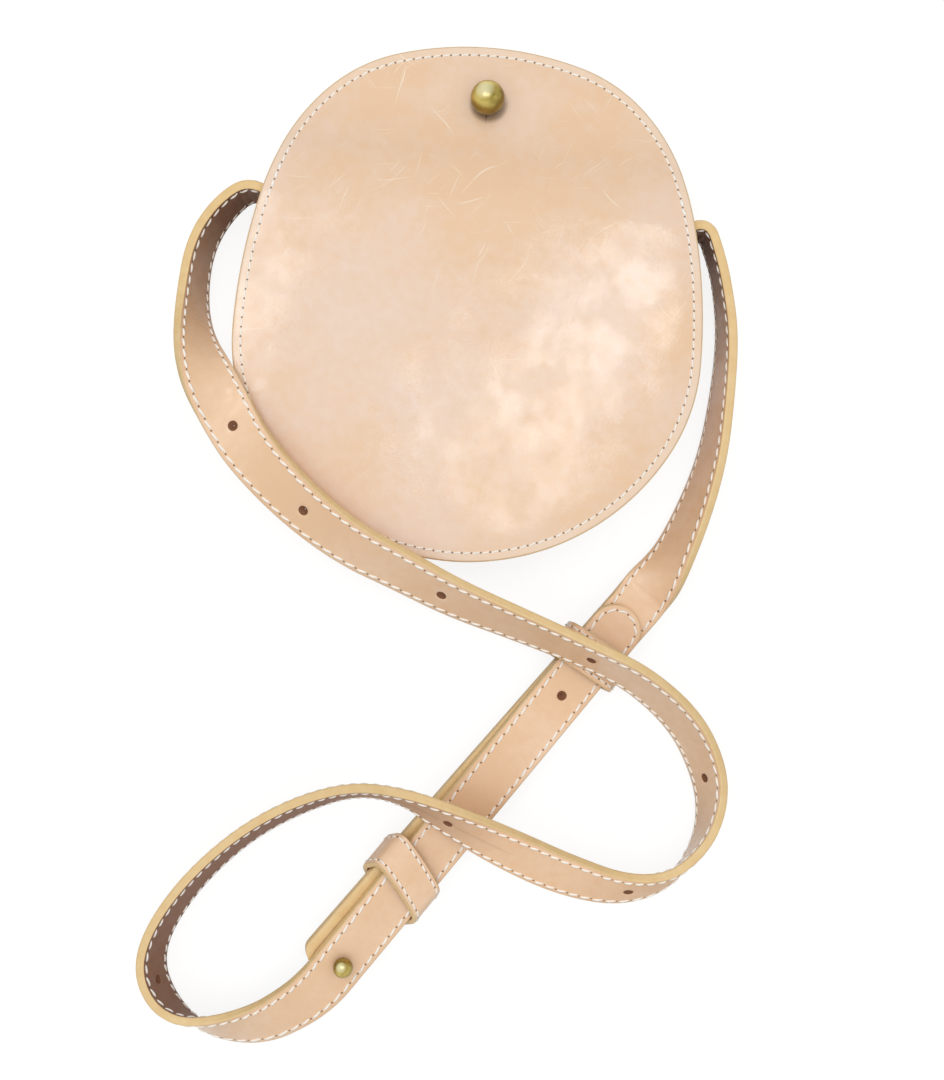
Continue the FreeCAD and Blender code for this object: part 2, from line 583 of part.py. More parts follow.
# Strap stud: the same pattern as the closure stud, smaller, let into the short strap's face. It is built
# upright with the long strap's middle at the origin, then leaned and set on the tail.
FLANGE_LEVEL = "(-Sizes.strap_thickness / 2 - Sizes.layer_gap - Sizes.small_flange_thickness)"
SMALL_BALL_LEVEL = "(Sizes.strap_thickness / 2 + Sizes.small_ball_diameter / 2 - Sizes.ball_sink)"
HEAD_LEVEL = f"(-{STACK} - Sizes.strap_thickness / 2 - 2 * Sizes.fit_gap - Sizes.small_head_thickness)"


def on_tail(part):
    """Set a part on the tail at the strap stud, square to the strap's face."""
    part.Placement = Placement(Vector(), Rotation(along_tail * -1, size["stud_lean"]))
    part.setExpression("Placement.Rotation.Angle", "Sizes.stud_lean")
    return place(part, f"{stud_shares[0]} * {HALF}", f"{stud_shares[1]} * {HALF}", TAIL_LEVEL)


small_flange = cylinder("small_flange", "Sizes.small_flange_diameter", "Sizes.small_flange_thickness",
                        z=FLANGE_LEVEL)
small_neck = cylinder("small_neck", "Sizes.small_neck_diameter", f"{SMALL_BALL_LEVEL} - {FLANGE_LEVEL}",
                      z=FLANGE_LEVEL)
small_ball = sphere("small_ball", "Sizes.small_ball_diameter", z=SMALL_BALL_LEVEL)
small_bore = cylinder("small_bore", "Sizes.small_screw_diameter + 2 * Sizes.fit_gap",
                      "Sizes.strap_thickness + Sizes.fit_gap", z=FLANGE_LEVEL)
small_stud_body = fuse("small_stud_body", small_flange, small_neck, small_ball)
strap_stud = on_tail(cut("strap_stud", small_stud_body, small_bore))
small_head = cylinder("small_head", "Sizes.small_head_diameter", "Sizes.small_head_thickness", z=HEAD_LEVEL)
small_shank = cylinder("small_shank", "Sizes.small_screw_diameter",
                       "Sizes.small_head_thickness + 2 * Sizes.strap_thickness - Sizes.small_flange_thickness",
                       z=HEAD_LEVEL)
strap_stud_screw = on_tail(fuse("strap_stud_screw", small_head, small_shank))

# Keepers: closed leather loops around both straps, which slide along the straight stretch.
KEEPER_REACH = f"({KEEPER_SIDE} + Sizes.under_shift / 2)"
keeper_reach = keeper_side + size["under_shift"] / 2


def rounded_rectangle(sketch, reach, reach_formula, low, low_formula, high, high_formula,
                      radius, radius_formula):
    """Rectangle with round corners, centred on the sketch's Y axis."""
    inner_reach, flat_low, flat_high = reach - radius, low + radius, high - radius
    lines = [((-inner_reach, low), (inner_reach, low)), ((reach, flat_low), (reach, flat_high)),
             ((inner_reach, high), (-inner_reach, high)), ((-reach, flat_high), (-reach, flat_low))]
    centres = [(inner_reach, flat_low), (inner_reach, flat_high),
               (-inner_reach, flat_high), (-inner_reach, flat_low)]
    sides = sketch.addGeometry([Part.LineSegment(Vector(*a, 0), Vector(*b, 0)) for a, b in lines], False)
    corners = sketch.addGeometry(
        [Part.ArcOfCircle(Part.Circle(Vector(*centre, 0), Vector(0, 0, 1), radius),
                          (turn - 1) * math.pi / 2, turn * math.pi / 2)
         for turn, centre in enumerate(centres)], False)
    for turn in range(4):
        relate(sketch, "Tangent", sides[turn], END_INDEX, corners[turn], START_INDEX)
        relate(sketch, "Tangent", corners[turn], END_INDEX, sides[(turn + 1) % 4], START_INDEX)
        relate(sketch, "Vertical" if turn % 2 else "Horizontal", sides[turn])
        if turn:
            relate(sketch, "Equal", corners[0], corners[turn])
    constrain(sketch, "Radius", (corners[0],), radius, radius_formula)
    locate(sketch, "DistanceX", (sides[1], START_INDEX), reach, reach_formula)
    locate(sketch, "DistanceX", (sides[3], START_INDEX), -reach, f"-({reach_formula})")
    locate(sketch, "DistanceY", (sides[0], START_INDEX), low, low_formula)
    locate(sketch, "DistanceY", (sides[2], START_INDEX), high, high_formula)


def keeper(name, start_shares, place_formula, distance):
    """Leather loop whose middle lies at a distance along the tail from one of its ends, leaning as the
    straps do there. Its section is drawn about the long strap's middle."""
    body = doc.addObject("PartDesign::Body", name)
    sketch = body.newObject("Sketcher::SketchObject", f"{name}_section")
    upright = next(plane for plane in body.Origin.OriginFeatures if plane.Role == "XZ_Plane")
    sketch.AttachmentSupport, sketch.MapMode = [(upright, "")], "FlatFace"
    wall = size["keeper_wall"]
    rounded_rectangle(sketch, keeper_reach, KEEPER_REACH, -keeper_low, f"-{KEEPER_LOW}", keeper_high, KEEPER_HIGH,
                      size["keeper_corner"], "Sizes.keeper_corner")
    rounded_rectangle(sketch, keeper_reach - wall, f"{KEEPER_REACH} - Sizes.keeper_wall",
                      wall - keeper_low, f"Sizes.keeper_wall - {KEEPER_LOW}",
                      keeper_high - wall, f"{KEEPER_HIGH} - Sizes.keeper_wall",
                      size["keeper_corner"] - wall, "Sizes.keeper_corner - Sizes.keeper_wall")
    pad = body.newObject("PartDesign::Pad", f"{name}_pad")
    pad.Profile = sketch
    pad.setExpression("Length", "Sizes.keeper_length")
    wide, normal = leaning(distance)
    body.Placement = Placement(Vector(), Rotation(wide, along_tail * -1, normal, "ZXY"))
    near_end = f"({place_formula} - Sizes.keeper_length / 2)"
    aside = "Sizes.under_shift / 2"
    return place(body, f"{start_shares[0]} * {HALF} + {along_tail.x} * {near_end} - {wide.x} * {aside}",
                 f"{start_shares[1]} * {HALF} + {along_tail.y} * {near_end} - {wide.y} * {aside}",
                 f"{TAIL_LEVEL} - {wide.z} * {aside}")


keeper_stud_side = keeper("keeper_stud_side", stud_shares, "-Sizes.stud_keeper_place",
                          doubled - size["stud_keeper_place"])
keeper_tip_side = keeper("keeper_tip_side", tip_shares, "Sizes.tip_keeper_place", size["tip_keeper_place"])

NODES = [front_panel, front_lining, front_mouth, front_mouth_lining, buttonhole_lips, back_panel, back_lining,
         gusset, closure_stud, closure_screw, strap_long, strap_long_lining, strap_short,
         strap_short_lining,
         strap_stud, strap_stud_screw, keeper_stud_side, keeper_tip_side]

doc.recompute()
for part in doc.Objects:
    if "Invalid" in part.State or "Error" in part.State:
        raise RuntimeError(f"{part.Label} did not build: {part.State}")
for part in NODES:
    if part.Shape.isNull() or not part.Shape.isValid():
        raise RuntimeError(f"{part.Label} has no valid shape")
    part.Shape.exportStep(f"parts/{part.Label}.step")
    print(part.Label, len(part.Shape.Solids), round(part.Shape.Volume), part.Shape.BoundBox)
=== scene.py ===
"""A small round shoulder bag of vegetable-tanned leather, with a ball stud at its mouth and a long stitched strap."""
import math

import bmesh
import bpy
import numpy as np
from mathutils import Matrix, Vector


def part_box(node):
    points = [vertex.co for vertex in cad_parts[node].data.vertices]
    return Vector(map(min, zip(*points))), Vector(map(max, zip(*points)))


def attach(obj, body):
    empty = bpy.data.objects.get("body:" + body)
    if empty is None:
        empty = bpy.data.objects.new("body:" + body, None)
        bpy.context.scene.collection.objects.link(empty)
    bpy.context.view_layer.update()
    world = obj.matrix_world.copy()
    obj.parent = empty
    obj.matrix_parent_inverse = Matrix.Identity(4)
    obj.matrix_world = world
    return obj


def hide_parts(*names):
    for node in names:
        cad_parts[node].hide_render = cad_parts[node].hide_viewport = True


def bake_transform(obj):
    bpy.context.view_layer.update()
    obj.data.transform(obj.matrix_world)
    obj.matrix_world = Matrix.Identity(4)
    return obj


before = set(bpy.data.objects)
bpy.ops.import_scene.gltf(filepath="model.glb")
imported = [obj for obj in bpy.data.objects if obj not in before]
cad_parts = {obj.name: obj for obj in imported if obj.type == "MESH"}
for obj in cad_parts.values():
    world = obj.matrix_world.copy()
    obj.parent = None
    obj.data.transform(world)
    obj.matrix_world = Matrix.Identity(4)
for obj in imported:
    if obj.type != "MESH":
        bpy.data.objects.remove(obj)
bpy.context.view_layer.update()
scene = bpy.context.scene
scene.view_settings.view_transform = "Standard"

# The table that the bag lies on: a wide board painted pale grey and shown as white, under a white sky that
# is brightest overhead and three softboxes. The camera looks straight down from 0.6 m, turned a little,
# for a 944 x 1080 frame.
table_reach = 6.0
table_level = -0.0006
table_grey = "#868684"
table_glow = 0.83
sky_level, sky_horizon = 1.26, 0.05
camera_place = (0.0083, -0.0741, 0.600)
camera_turn = math.radians(4.8)
picture_height, focal_pixels, sensor_height = 1080, 1488, 24.0
softboxes = (((-0.335, 0.18, 1.05), (0.27, 0.26), 0.85), ((0.135, 0.19, 1.15), (0.14, 0.24), 0.57),
             ((0.04, 0.03, 1.15), (0.22, 0.14), 0.35))                 # place, sides, watts
aim = Vector((0.0, 0.0, 0.0))


def linear(code):
    """Linear RGBA of an sRGB hex code: the sRGB curve undone on each channel."""
    share = np.array([int(code[i:i + 2], 16) for i in (1, 3, 5)]) / 255
    return (*np.where(share <= 0.04045, share / 12.92, ((share + 0.055) / 1.055) ** 2.4).tolist(), 1.0)


def wire(made, inputs):
    """Gives each named socket of a node a value, or a link from an output."""
    for name, value in inputs.items():
        if isinstance(value, bpy.types.NodeSocket):
            made.id_data.links.new(value, made.inputs[name])
        else:
            made.inputs[name].default_value = value


def node(tree, kind, inputs=None, **settings):
    """Adds a node to a tree: settings are its properties, inputs its sockets, each a value or an output."""
    made = tree.nodes.new(kind)
    for name, value in settings.items():
        setattr(made, name, value)
    wire(made, inputs or {})
    return made


def tree_of(*values):
    """The tree of the first output among some values."""
    return next(value.id_data for value in values if isinstance(value, bpy.types.NodeSocket))


def math_of(operation, *values):
    """Result of a math node on values and outputs."""
    return node(tree_of(*values), "ShaderNodeMath", dict(enumerate(values)), operation=operation).outputs[0]


def ramp(value, first, last, low=0.0, high=1.0):
    """Goes evenly from low to high as the value goes from first to last, and no further."""
    ends = {"From Min": first, "From Max": last, "To Min": low, "To Max": high}
    return node(value.id_data, "ShaderNodeMapRange", {"Value": value, **ends}).outputs[0]


def new_material(name):
    """A material with nodes, its tree and its surface shader."""
    made = bpy.data.materials.new(name)
    made.use_nodes = True
    return made, made.node_tree, made.node_tree.nodes["Principled BSDF"]


def smooth_mesh(name, points, *faces):
    """Smooth mesh object of points (n x 3) and arrays of faces, each array with one count of corners."""
    mesh = bpy.data.meshes.new(name)
    corners = np.concatenate([face.ravel() for face in faces]).astype(np.int32)
    counts = np.concatenate([np.full(len(face), face.shape[1]) for face in faces])
    mesh.vertices.add(len(points))
    mesh.vertices.foreach_set("co", np.asarray(points, np.float32).ravel())
    mesh.loops.add(len(corners))
    mesh.loops.foreach_set("vertex_index", corners)
    mesh.polygons.add(len(counts))
    mesh.polygons.foreach_set("loop_start", (np.cumsum(counts) - counts).astype(np.int32))
    mesh.update(calc_edges=True)
    mesh.shade_smooth()
    piece = bpy.data.objects.new(name, mesh)
    scene.collection.objects.link(piece)
    return piece


def seen_directly(tree):
    """1 for rays from the camera, a mirror or a glass, 0 for the rays that light the bag."""
    path = node(tree, "ShaderNodeLightPath").outputs
    either = math_of("MAXIMUM", path["Is Camera Ray"], path["Is Glossy Ray"])
    return math_of("MAXIMUM", either, path["Is Transmission Ray"])


corners = np.array([(-1, -1, 0), (1, -1, 0), (1, 1, 0), (-1, 1, 0)]) * table_reach
table = smooth_mesh("table", corners + (0, 0, table_level), np.array([[0, 1, 2, 3]]))
flat_paint, tree = new_material("flat_grey_paint")[:2]
# Paint without any shine, which is seen as white and lights the bag as pale grey.
tree.nodes.clear()
board = node(tree, "ShaderNodeBsdfDiffuse", {"Color": linear(table_grey)})
glow = node(tree, "ShaderNodeEmission", {"Strength": math_of("MULTIPLY", seen_directly(tree), table_glow)})
both = node(tree, "ShaderNodeAddShader", {0: board.outputs[0], 1: glow.outputs[0]})
node(tree, "ShaderNodeOutputMaterial", {"Surface": both.outputs[0]})
table.data.materials.append(flat_paint)

sky = bpy.data.worlds.new("white_sky")
scene.world = sky
sky.use_nodes = True
tree = sky.node_tree
towards = node(tree, "ShaderNodeSeparateXYZ", {0: node(tree, "ShaderNodeTexCoord").outputs["Generated"]})
dome = ramp(towards.outputs["Z"], 0.0, 1.0, sky_level * sky_horizon, sky_level)
level = node(tree, "ShaderNodeMix", {0: seen_directly(tree), 2: dome, 3: 1.0})
wire(tree.nodes["Background"], {"Strength": level.outputs[0], "Color": (1, 1, 1, 1)})

for place, sides, watts in softboxes:
    lamp = bpy.data.lights.new("softbox", "AREA")
    lamp.shape, lamp.energy = "RECTANGLE", watts
    lamp.size, lamp.size_y = sides
    box = bpy.data.objects.new("softbox", lamp)
    box.location = place
    box.rotation_euler = (aim - Vector(place)).to_track_quat("-Z", "Y").to_euler()
    scene.collection.objects.link(box)

lens = bpy.data.cameras.new("camera")
lens.sensor_fit, lens.sensor_height = "VERTICAL", sensor_height
lens.lens = sensor_height * focal_pixels / picture_height
lens.clip_start = 0.01
camera = bpy.data.objects.new("camera", lens)
camera.location, camera.rotation_euler = camera_place, (0, 0, camera_turn)
scene.collection.objects.link(camera)
scene.camera = camera

# Back of the bag: an egg-shaped panel of waxed vegetable-tanned cowhide glued to a thin leather lining
# and cut out with it, the edge sanded round and painted ochre. Above the gusset it bends forward to
# the mouth, and the closure's screw is let in flush from behind.
half_width, crown_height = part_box("back_panel")[1].x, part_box("back_panel")[1].y
side_radius, crown_radius = 0.218, 0.128
shoulder_radius, heel_radius = half_width - 0.0275, half_width - 0.0181
base_radius = half_width + 0.0026
board_thickness, glue_line = 0.0032, 0.0022
fold_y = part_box("front_panel")[1].y + 0.00015
bend_start, bend_run = fold_y - 0.0095, 0.046
back_rise = 0.010
stud_y = crown_height - 0.0214
stud_shadow_middle = (-0.0006, 0.0012 - stud_y, 0)
seam_inset, seam_pitch = 0.0035, 0.00365
rim_width = 0.012
panel_columns, panel_rings = 400, 44
screw_hole, screw_recess, recess_depth = 0.0022, 0.0050, 0.00125
edge_section = np.array([(0.60, 0.00), (0.30, 0.07), (0.10, 0.26), (0.00, 0.60), (0.00, 1.20), (0.00, 1.85),
                         (0.07, 2.10), (0.20, 2.20), (0.07, 2.30), (0.00, 2.50), (0.08, 2.88), (0.28, 3.12),
                         (0.60, 3.20)]) / 1000          # inset and depth round the edge
rim_insets = np.array([12.0, 9.6, 7.7, 6.2, 5.1, 4.3, 3.7, 3.3, 2.7, 2.0, 1.2]) / 1000
off_seam = 0.05                        # seam map's inset inside the rim, clear of all needle holes
# sizes of the leather's patterns, of its stretches with painted shade, painted shadow, painted sheen or scratches,
# and colours
cloud_size, swell_size, polish_size, mottle_size = 0.045, 0.026, 0.012, 0.004
pore_size, crease_size, drift_size, drift_reach = 0.0007, 0.0012, 0.02, 0.007
scratch_turns = ((0.12, 0.034), (0.75, 0.022), (1.25, 0.026), (2.35, 0.030))     # direction, size
back_shade_reach, tuck_shade_reach, mouth_shade_reach = (0.46, 0.38), (-0.005, 0.045), (0.02, 0.09)
stud_shadow_reach, scratch_reach, needle_reach = (0.0060, 0.0078), (-0.03, 0.07), (0.0003, 0.0005)
rim_sheen_reach, bump_height = (0.0008, -0.0004), 0.00012
tuck_shade_brown, stud_shadow_brown, groove_brown, needle_hole_shade = "#6B3A1A", "#5C3A20", "#7E5A36", "#4E3520"
rim_sheen_pale, scratch_pale = "#F3DEC8", "#F8E9D4"


def egg_arcs():
    """Centres, radii, first angles and turns of the outline's eight tangent arcs, anticlockwise from the crown.

    A shoulder's centre lies where the circles of the side's and the crown's radius less its own meet,
    and the base's where its radius less the heel's reaches the heel's centre.
    """
    side_x, crown_y = half_width - side_radius, crown_height - crown_radius
    heel_x = half_width - heel_radius
    base_y = math.sqrt((base_radius - heel_radius) ** 2 - heel_x ** 2)
    to_side, to_crown = side_radius - shoulder_radius, crown_radius - shoulder_radius
    span = math.hypot(side_x, crown_y)
    along = (to_side ** 2 - to_crown ** 2 + span ** 2) / (2 * span)
    off = math.sqrt(to_side ** 2 - along ** 2)
    shoulder_x = side_x + (along * -side_x - off * crown_y) / span
    shoulder_y = (along * crown_y - off * side_x) / span
    rise = math.atan2(shoulder_y, shoulder_x - side_x)
    lean = math.atan2(shoulder_x, shoulder_y - crown_y)
    heel = math.atan2(base_y, heel_x)
    centres = [(0, crown_y), (-shoulder_x, shoulder_y), (-side_x, 0), (-heel_x, 0), (0, base_y),
               (heel_x, 0), (side_x, 0), (shoulder_x, shoulder_y)]
    radii = [crown_radius, shoulder_radius, side_radius, heel_radius, base_radius,
             heel_radius, side_radius, shoulder_radius]
    turns = np.array([2 * lean, math.pi / 2 - lean - rise, rise, heel, math.pi - 2 * heel,
                      heel, rise, math.pi / 2 - lean - rise])
    return np.array(centres), np.array(radii), math.pi / 2 - lean + np.cumsum(turns) - turns, turns


arc_centres, arc_radii, arc_firsts, arc_turns = egg_arcs()


def egg_length(line):
    """Length of the curve that lies a distance inside the outline."""
    return float(((arc_radii - line) * arc_turns).sum())


def egg(distance, inset, line=seam_inset):
    """Points of the outline: distance runs along the curve that lies line inside it, and finds an arc and an angle;
    the point stands from that arc's centre, at that angle, at the arc's radius less the inset."""
    lengths = (arc_radii - line) * arc_turns
    ends = np.cumsum(lengths)
    distance = np.mod(distance, ends[-1])
    arc = np.minimum(np.searchsorted(ends, distance, side="right"), len(ends) - 1)
    angle = arc_firsts[arc] + (distance - ends[arc] + lengths[arc]) / (arc_radii[arc] - line)
    out = np.stack([np.cos(angle), np.sin(angle)], -1)
    return arc_centres[arc] + out * (arc_radii[arc] - inset)[..., None]


def fall(y, depth, drop):
    """How far the layer at a depth in a leather lies below the face's flat start: flat, then down through two equal
    arcs about centres below and above the leather, then flat again at the drop."""
    radius = (bend_run ** 2 + drop ** 2) / (4 * drop)
    turn = 2 * math.atan2(drop, bend_run)
    into, left = y - bend_start, bend_start + bend_run - y
    near = radius - np.sqrt(np.maximum((radius - depth) ** 2 - into ** 2, 0))
    far = drop - radius + np.sqrt(np.maximum((radius + depth) ** 2 - left ** 2, 0))
    bent = np.where(into < (radius - depth) * math.sin(turn), near, far)
    return np.where(into < 0, depth, np.where(left < 0, drop + depth, bent))


def cells(rows, columns, flip=False):
    """Row and column of the four corners of each cell in a grid; flip turns the faces over."""
    row, column = np.mgrid[:rows, :columns]
    corners = ((0, 0), (0, 1), (1, 1), (1, 0)) if flip else ((0, 0), (1, 0), (1, 1), (0, 1))
    return (np.stack([row + down for down, across in corners], -1).reshape(-1, 4),
            np.stack([column + across for down, across in corners], -1).reshape(-1, 4))


def mark(piece, edge, lining, sewing):
    """Gives a leather piece its paint, its lining and its place at rest by point, and its seam map by face corner."""
    for name, share in (("edge", edge), ("lining", lining)):
        values = piece.data.attributes.new(name, "FLOAT", "POINT")
        values.data.foreach_set("value", np.asarray(share, np.float32).ravel())
    places = np.empty(3 * len(piece.data.vertices), np.float32)
    piece.data.vertices.foreach_get("co", places)
    piece.data.attributes.new("rest", "FLOAT_VECTOR", "POINT").data.foreach_set("vector", places)
    piece.data.uv_layers.new(name="sewing").data.foreach_set("uv", np.asarray(sewing, np.float32).ravel())


def face_leather(name, height, hole_radius, hole_section, flip):
    """Closed leather of the egg outline with a hole at the stud.

    Columns go round the outline; rows go up the hole's wall, out over the face, round the edge and back
    under. A rim row is the outline set in; an inner row is a share of the straight way from the rim to
    the hole's edge, which lies in the same direction from the stud. height(x, y, inset, depth) gives z.
    """
    distance = np.arange(panel_columns) * egg_length(seam_inset) / panel_columns
    pull = np.linspace(1, 0, panel_rings)[1:-1]
    zero, rim = np.zeros_like(rim_insets), np.full_like(pull, rim_width)
    back = np.full_like(pull, board_thickness)
    gains, wall_depths = np.array(hole_section).T
    at_hole = np.full_like(gains, rim_width)
    pulls = np.concatenate([gains * 0 + 1, pull, zero, edge_section[:, 0] * 0, zero, pull[::-1]])
    insets = np.concatenate([at_hole, rim, rim_insets, edge_section[:, 0], rim_insets[::-1], rim])
    depths = np.concatenate([wall_depths, pull * 0, zero, edge_section[:, 1], zero + board_thickness, back])
    gain = np.concatenate([gains, pull * 0, zero, edge_section[:, 0] * 0, zero, pull * 0])
    outside = egg(distance[None], insets[:, None])
    away = egg(distance, np.full(panel_columns, rim_width)) - (0, stud_y)
    angle = np.arctan2(away[:, 1], away[:, 0])
    reach = hole_radius(angle)[None] + gain[:, None]
    inside = np.stack([np.cos(angle) * reach, stud_y + np.sin(angle) * reach], -1)
    plan = outside + (inside - outside) * pulls[:, None, None]
    x, y = plan[..., 0], plan[..., 1]
    points = np.stack([x, y, height(x, y, insets[:, None] + 0 * x, depths[:, None] + 0 * x)], -1)
    rows = len(insets)
    row, column = cells(rows, panel_columns, flip)
    piece = smooth_mesh(name, points.reshape(-1, 3), row % rows * panel_columns + column % panel_columns)
    on_edge = (insets < edge_section[0, 0] - 1e-6) & (pulls == 0)
    on_wall = (pulls == 1) & (gain <= 0)
    edge = np.repeat(np.maximum(on_edge, on_wall), panel_columns)
    lining = np.repeat(depths > glue_line, panel_columns)
    across = np.append(insets + pulls * off_seam, insets[0])[row]
    mark(piece, edge, lining, np.stack([column * egg_length(seam_inset) / panel_columns, across], -1))
    return piece


def noise(where, size, detail):
    """Wanders from 0 to 1 over patches of a size."""
    return node(where.id_data, "ShaderNodeTexNoise",
                {"Vector": where, "Scale": 1 / size, "Detail": detail}).outputs["Fac"]


def vector_of(operation, *values):
    """Results of a vector math node on values and outputs: the vector first, and the value by name."""
    return node(tree_of(*values), "ShaderNodeVectorMath", dict(enumerate(values)), operation=operation).outputs


def mix(share, first, second):
    """Goes from the first colour to the second with the share; each is a hex code or an output."""
    first, second = (linear(tone) if isinstance(tone, str) else tone for tone in (first, second))
    tree = tree_of(share, first, second)
    return node(tree, "ShaderNodeMix", {0: share, 6: first, 7: second}, data_type="RGBA").outputs[2]


def leather(name, face, patch, flesh, paint, wax, seam, line, wear_and_painted_light=False, tuck_shade=0.0):
    """Waxed vegetable-tanned cowhide: tan face under a coat of wax, browner matt flesh side and painted edges, with
    needle holes a seam's pitch apart on the line of the seam map.

    The eye gets slow colour clouds some 45 mm across, shallow swells of 26 mm, wax polished in patches of
    12 mm, mottling of 4 mm and pores under 1 mm, and needle holes painted dark as the shade in them. A panel
    face has thin scratches, and painted light: painted shade that browns it towards the mouth, a painted sheen
    that makes it paler outside its seam and a painted shadow of the stud round it. Other leather has fine
    creases across it, and painted shade browns its back near the seam map's start. A face that goes into the
    bag gets painted shade there, browner and dull.
    """
    made, tree, shader = new_material(name)
    place = node(tree, "ShaderNodeAttribute", attribute_name="rest").outputs["Vector"]
    sewing = node(tree, "ShaderNodeUVMap", uv_map="sewing").outputs[0]
    spot = node(tree, "ShaderNodeSeparateXYZ", {0: sewing})
    aside = math_of("ABSOLUTE", spot.outputs["Y"])
    cloud, polish = noise(place, cloud_size, 4.0), noise(place, polish_size, 5.0)
    swell, mottle = noise(place, swell_size, 1.0), noise(place, mottle_size, 5.0)
    pores = noise(place, pore_size, 3.0)
    lining = node(tree, "ShaderNodeAttribute", attribute_name="lining").outputs["Fac"]
    edge = node(tree, "ShaderNodeAttribute", attribute_name="edge").outputs["Fac"]
    spread = ramp(math_of("MULTIPLY_ADD", mottle, 0.35, cloud), 0.5, 0.86)
    relief = math_of("MULTIPLY_ADD", mottle, 0.6, pores)
    gloss = math_of("MULTIPLY_ADD", swell, 9.0, math_of("MULTIPLY", relief, 0.5))
    relief = math_of("MULTIPLY_ADD", swell, 12.0, relief)
    # painted shade: the back is browned near the seam map's start, where it is in shade
    back_shade = 0.0 if wear_and_painted_light else ramp(spot.outputs["X"], *back_shade_reach)
    up = node(tree, "ShaderNodeSeparateXYZ", {0: place}).outputs["Y"]
    if wear_and_painted_light:
        # painted shade: browner towards the mouth, where the flap bends away from the light
        spread = math_of("ADD", spread, ramp(up, *mouth_shade_reach, 0.0, 0.3))
    else:
        across = node(tree, "ShaderNodeMapping", {"Vector": sewing, "Scale": (1.0, 0.12, 1.0)}).outputs[0]
        creases = noise(across, crease_size, 2.0)
        relief = math_of("MULTIPLY_ADD", creases, 1.3, relief)
        spread = math_of("MULTIPLY_ADD", creases, 0.5, spread)
    # painted shade: browner and dull where the face goes into the bag
    tuck_shade_share = ramp(up, *tuck_shade_reach, 0.0, tuck_shade)
    hide = mix(tuck_shade_share, mix(spread, face, patch), tuck_shade_brown)
    if wear_and_painted_light:
        # painted sheen: the face paler outside the seam, where the rim falls away
        hide = mix(ramp(aside, line + rim_sheen_reach[0], line + rim_sheen_reach[1], 0.0, 0.4), hide, rim_sheen_pale)
        # painted shadow of the stud, darkening the face round it and off to its lower right
        from_stud = vector_of("MULTIPLY_ADD", place, (1, 1, 0), stud_shadow_middle)[0]
        off_stud = vector_of("LENGTH", from_stud)["Value"]
        hide = mix(ramp(off_stud, *stud_shadow_reach, 0.6, 0.0), hide, stud_shadow_brown)
        drift = node(tree, "ShaderNodeTexNoise", {"Vector": place, "Scale": 1 / drift_size, "Detail": 1.0})
        curved = vector_of("MULTIPLY_ADD", drift.outputs["Color"], (drift_reach,) * 3, place)[0]
        scratches = 0.0
        for turn, size in scratch_turns:
            swung = node(tree, "ShaderNodeMapping", {"Vector": curved, "Rotation": (0, 0, turn),
                                                     "Scale": (1.0, 0.025, 1.0)}, vector_type="TEXTURE").outputs[0]
            scratches = math_of("ADD", scratches, ramp(noise(swung, size, 1.0), 0.71, 0.77))
        some = math_of("MULTIPLY", ramp(cloud, 0.42, 0.56), ramp(up, *scratch_reach, 0.15, 0.8))
        hide = mix(math_of("MULTIPLY", scratches, some), hide, scratch_pale)
    # the flesh side's third colour is painted shade, mixed in where the back is shaded near the seam map's start
    under = mix(back_shade, mix(spread, flesh[0], flesh[1]), flesh[2])
    colour = mix(edge, mix(lining, hide, under), mix(mottle, *paint))
    colour = mix(math_of("PINGPONG", edge, 0.5), colour, groove_brown)
    beat = math_of("PINGPONG", spot.outputs["X"], seam / 2)
    pair = node(tree, "ShaderNodeCombineXYZ", {"X": beat, "Y": math_of("SUBTRACT", aside, line)})
    # needle holes: dented, and painted dark as the shade in them
    needle = ramp(vector_of("LENGTH", pair.outputs[0])["Value"], *needle_reach, 0.8, 0.0)
    colour = mix(needle, colour, needle_hole_shade)
    relief = math_of("SUBTRACT", relief, needle)
    bare = math_of("MAXIMUM", math_of("MAXIMUM", lining, edge), math_of("MAXIMUM", needle, tuck_shade_share))
    waxed = ramp(polish, 0.40, 0.62, 0.35 * wax, wax)
    matt = math_of("MAXIMUM", lining, tuck_shade_share)
    dents, waves = (node(tree, "ShaderNodeBump", {"Height": height, "Strength": 0.35, "Distance": bump_height})
                    for height in (relief, gloss))
    wire(shader, {
        "Base Color": colour, "Normal": dents.outputs[0], "IOR": 1.5,
        "Roughness": math_of("MULTIPLY_ADD", matt, 0.25, ramp(mottle, 0.3, 0.7, 0.36, 0.46)),
        "Specular IOR Level": math_of("MULTIPLY_ADD", tuck_shade_share, -0.4, 0.5),
        "Coat Weight": math_of("MULTIPLY", waxed, math_of("SUBTRACT", 1.0, bare)),
        "Coat Normal": waves.outputs[0], "Coat Roughness": 0.06})
    return made


edge_paint = ("#EFD3A0", "#DFBA80")
# flesh side's light and dark tones, and a third, dark brown, that is painted shade
flesh_and_shade = ("#FFDDBA", "#FACDA4", "#946A52")
seam_count = round(egg_length(seam_inset) / seam_pitch)
seam_step = egg_length(seam_inset) / seam_count
# the panels' faces get scratches and painted light: shade at the mouth, sheen at the rim, the stud's shadow
panel_hide = leather("waxed_vegetable_tanned_cowhide", "#EACFBA", "#E8C39E", flesh_and_shade, edge_paint, 0.9, seam_step,
                     seam_inset, True)


def back_height(x, y, inset, depth):
    """The back's face lies on the table, its layers stand above it, and all rise through the bend."""
    return fall(y, depth, back_rise)


back = face_leather("back_leather", back_height, lambda angle: screw_hole + 0 * angle,
                    [(0, board_thickness), (0, recess_depth), (screw_recess - screw_hole, recess_depth),
                     (screw_recess - screw_hole, 0)], True)
back.data.materials.append(panel_hide)
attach(back, "bag")
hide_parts("back_panel", "back_lining")

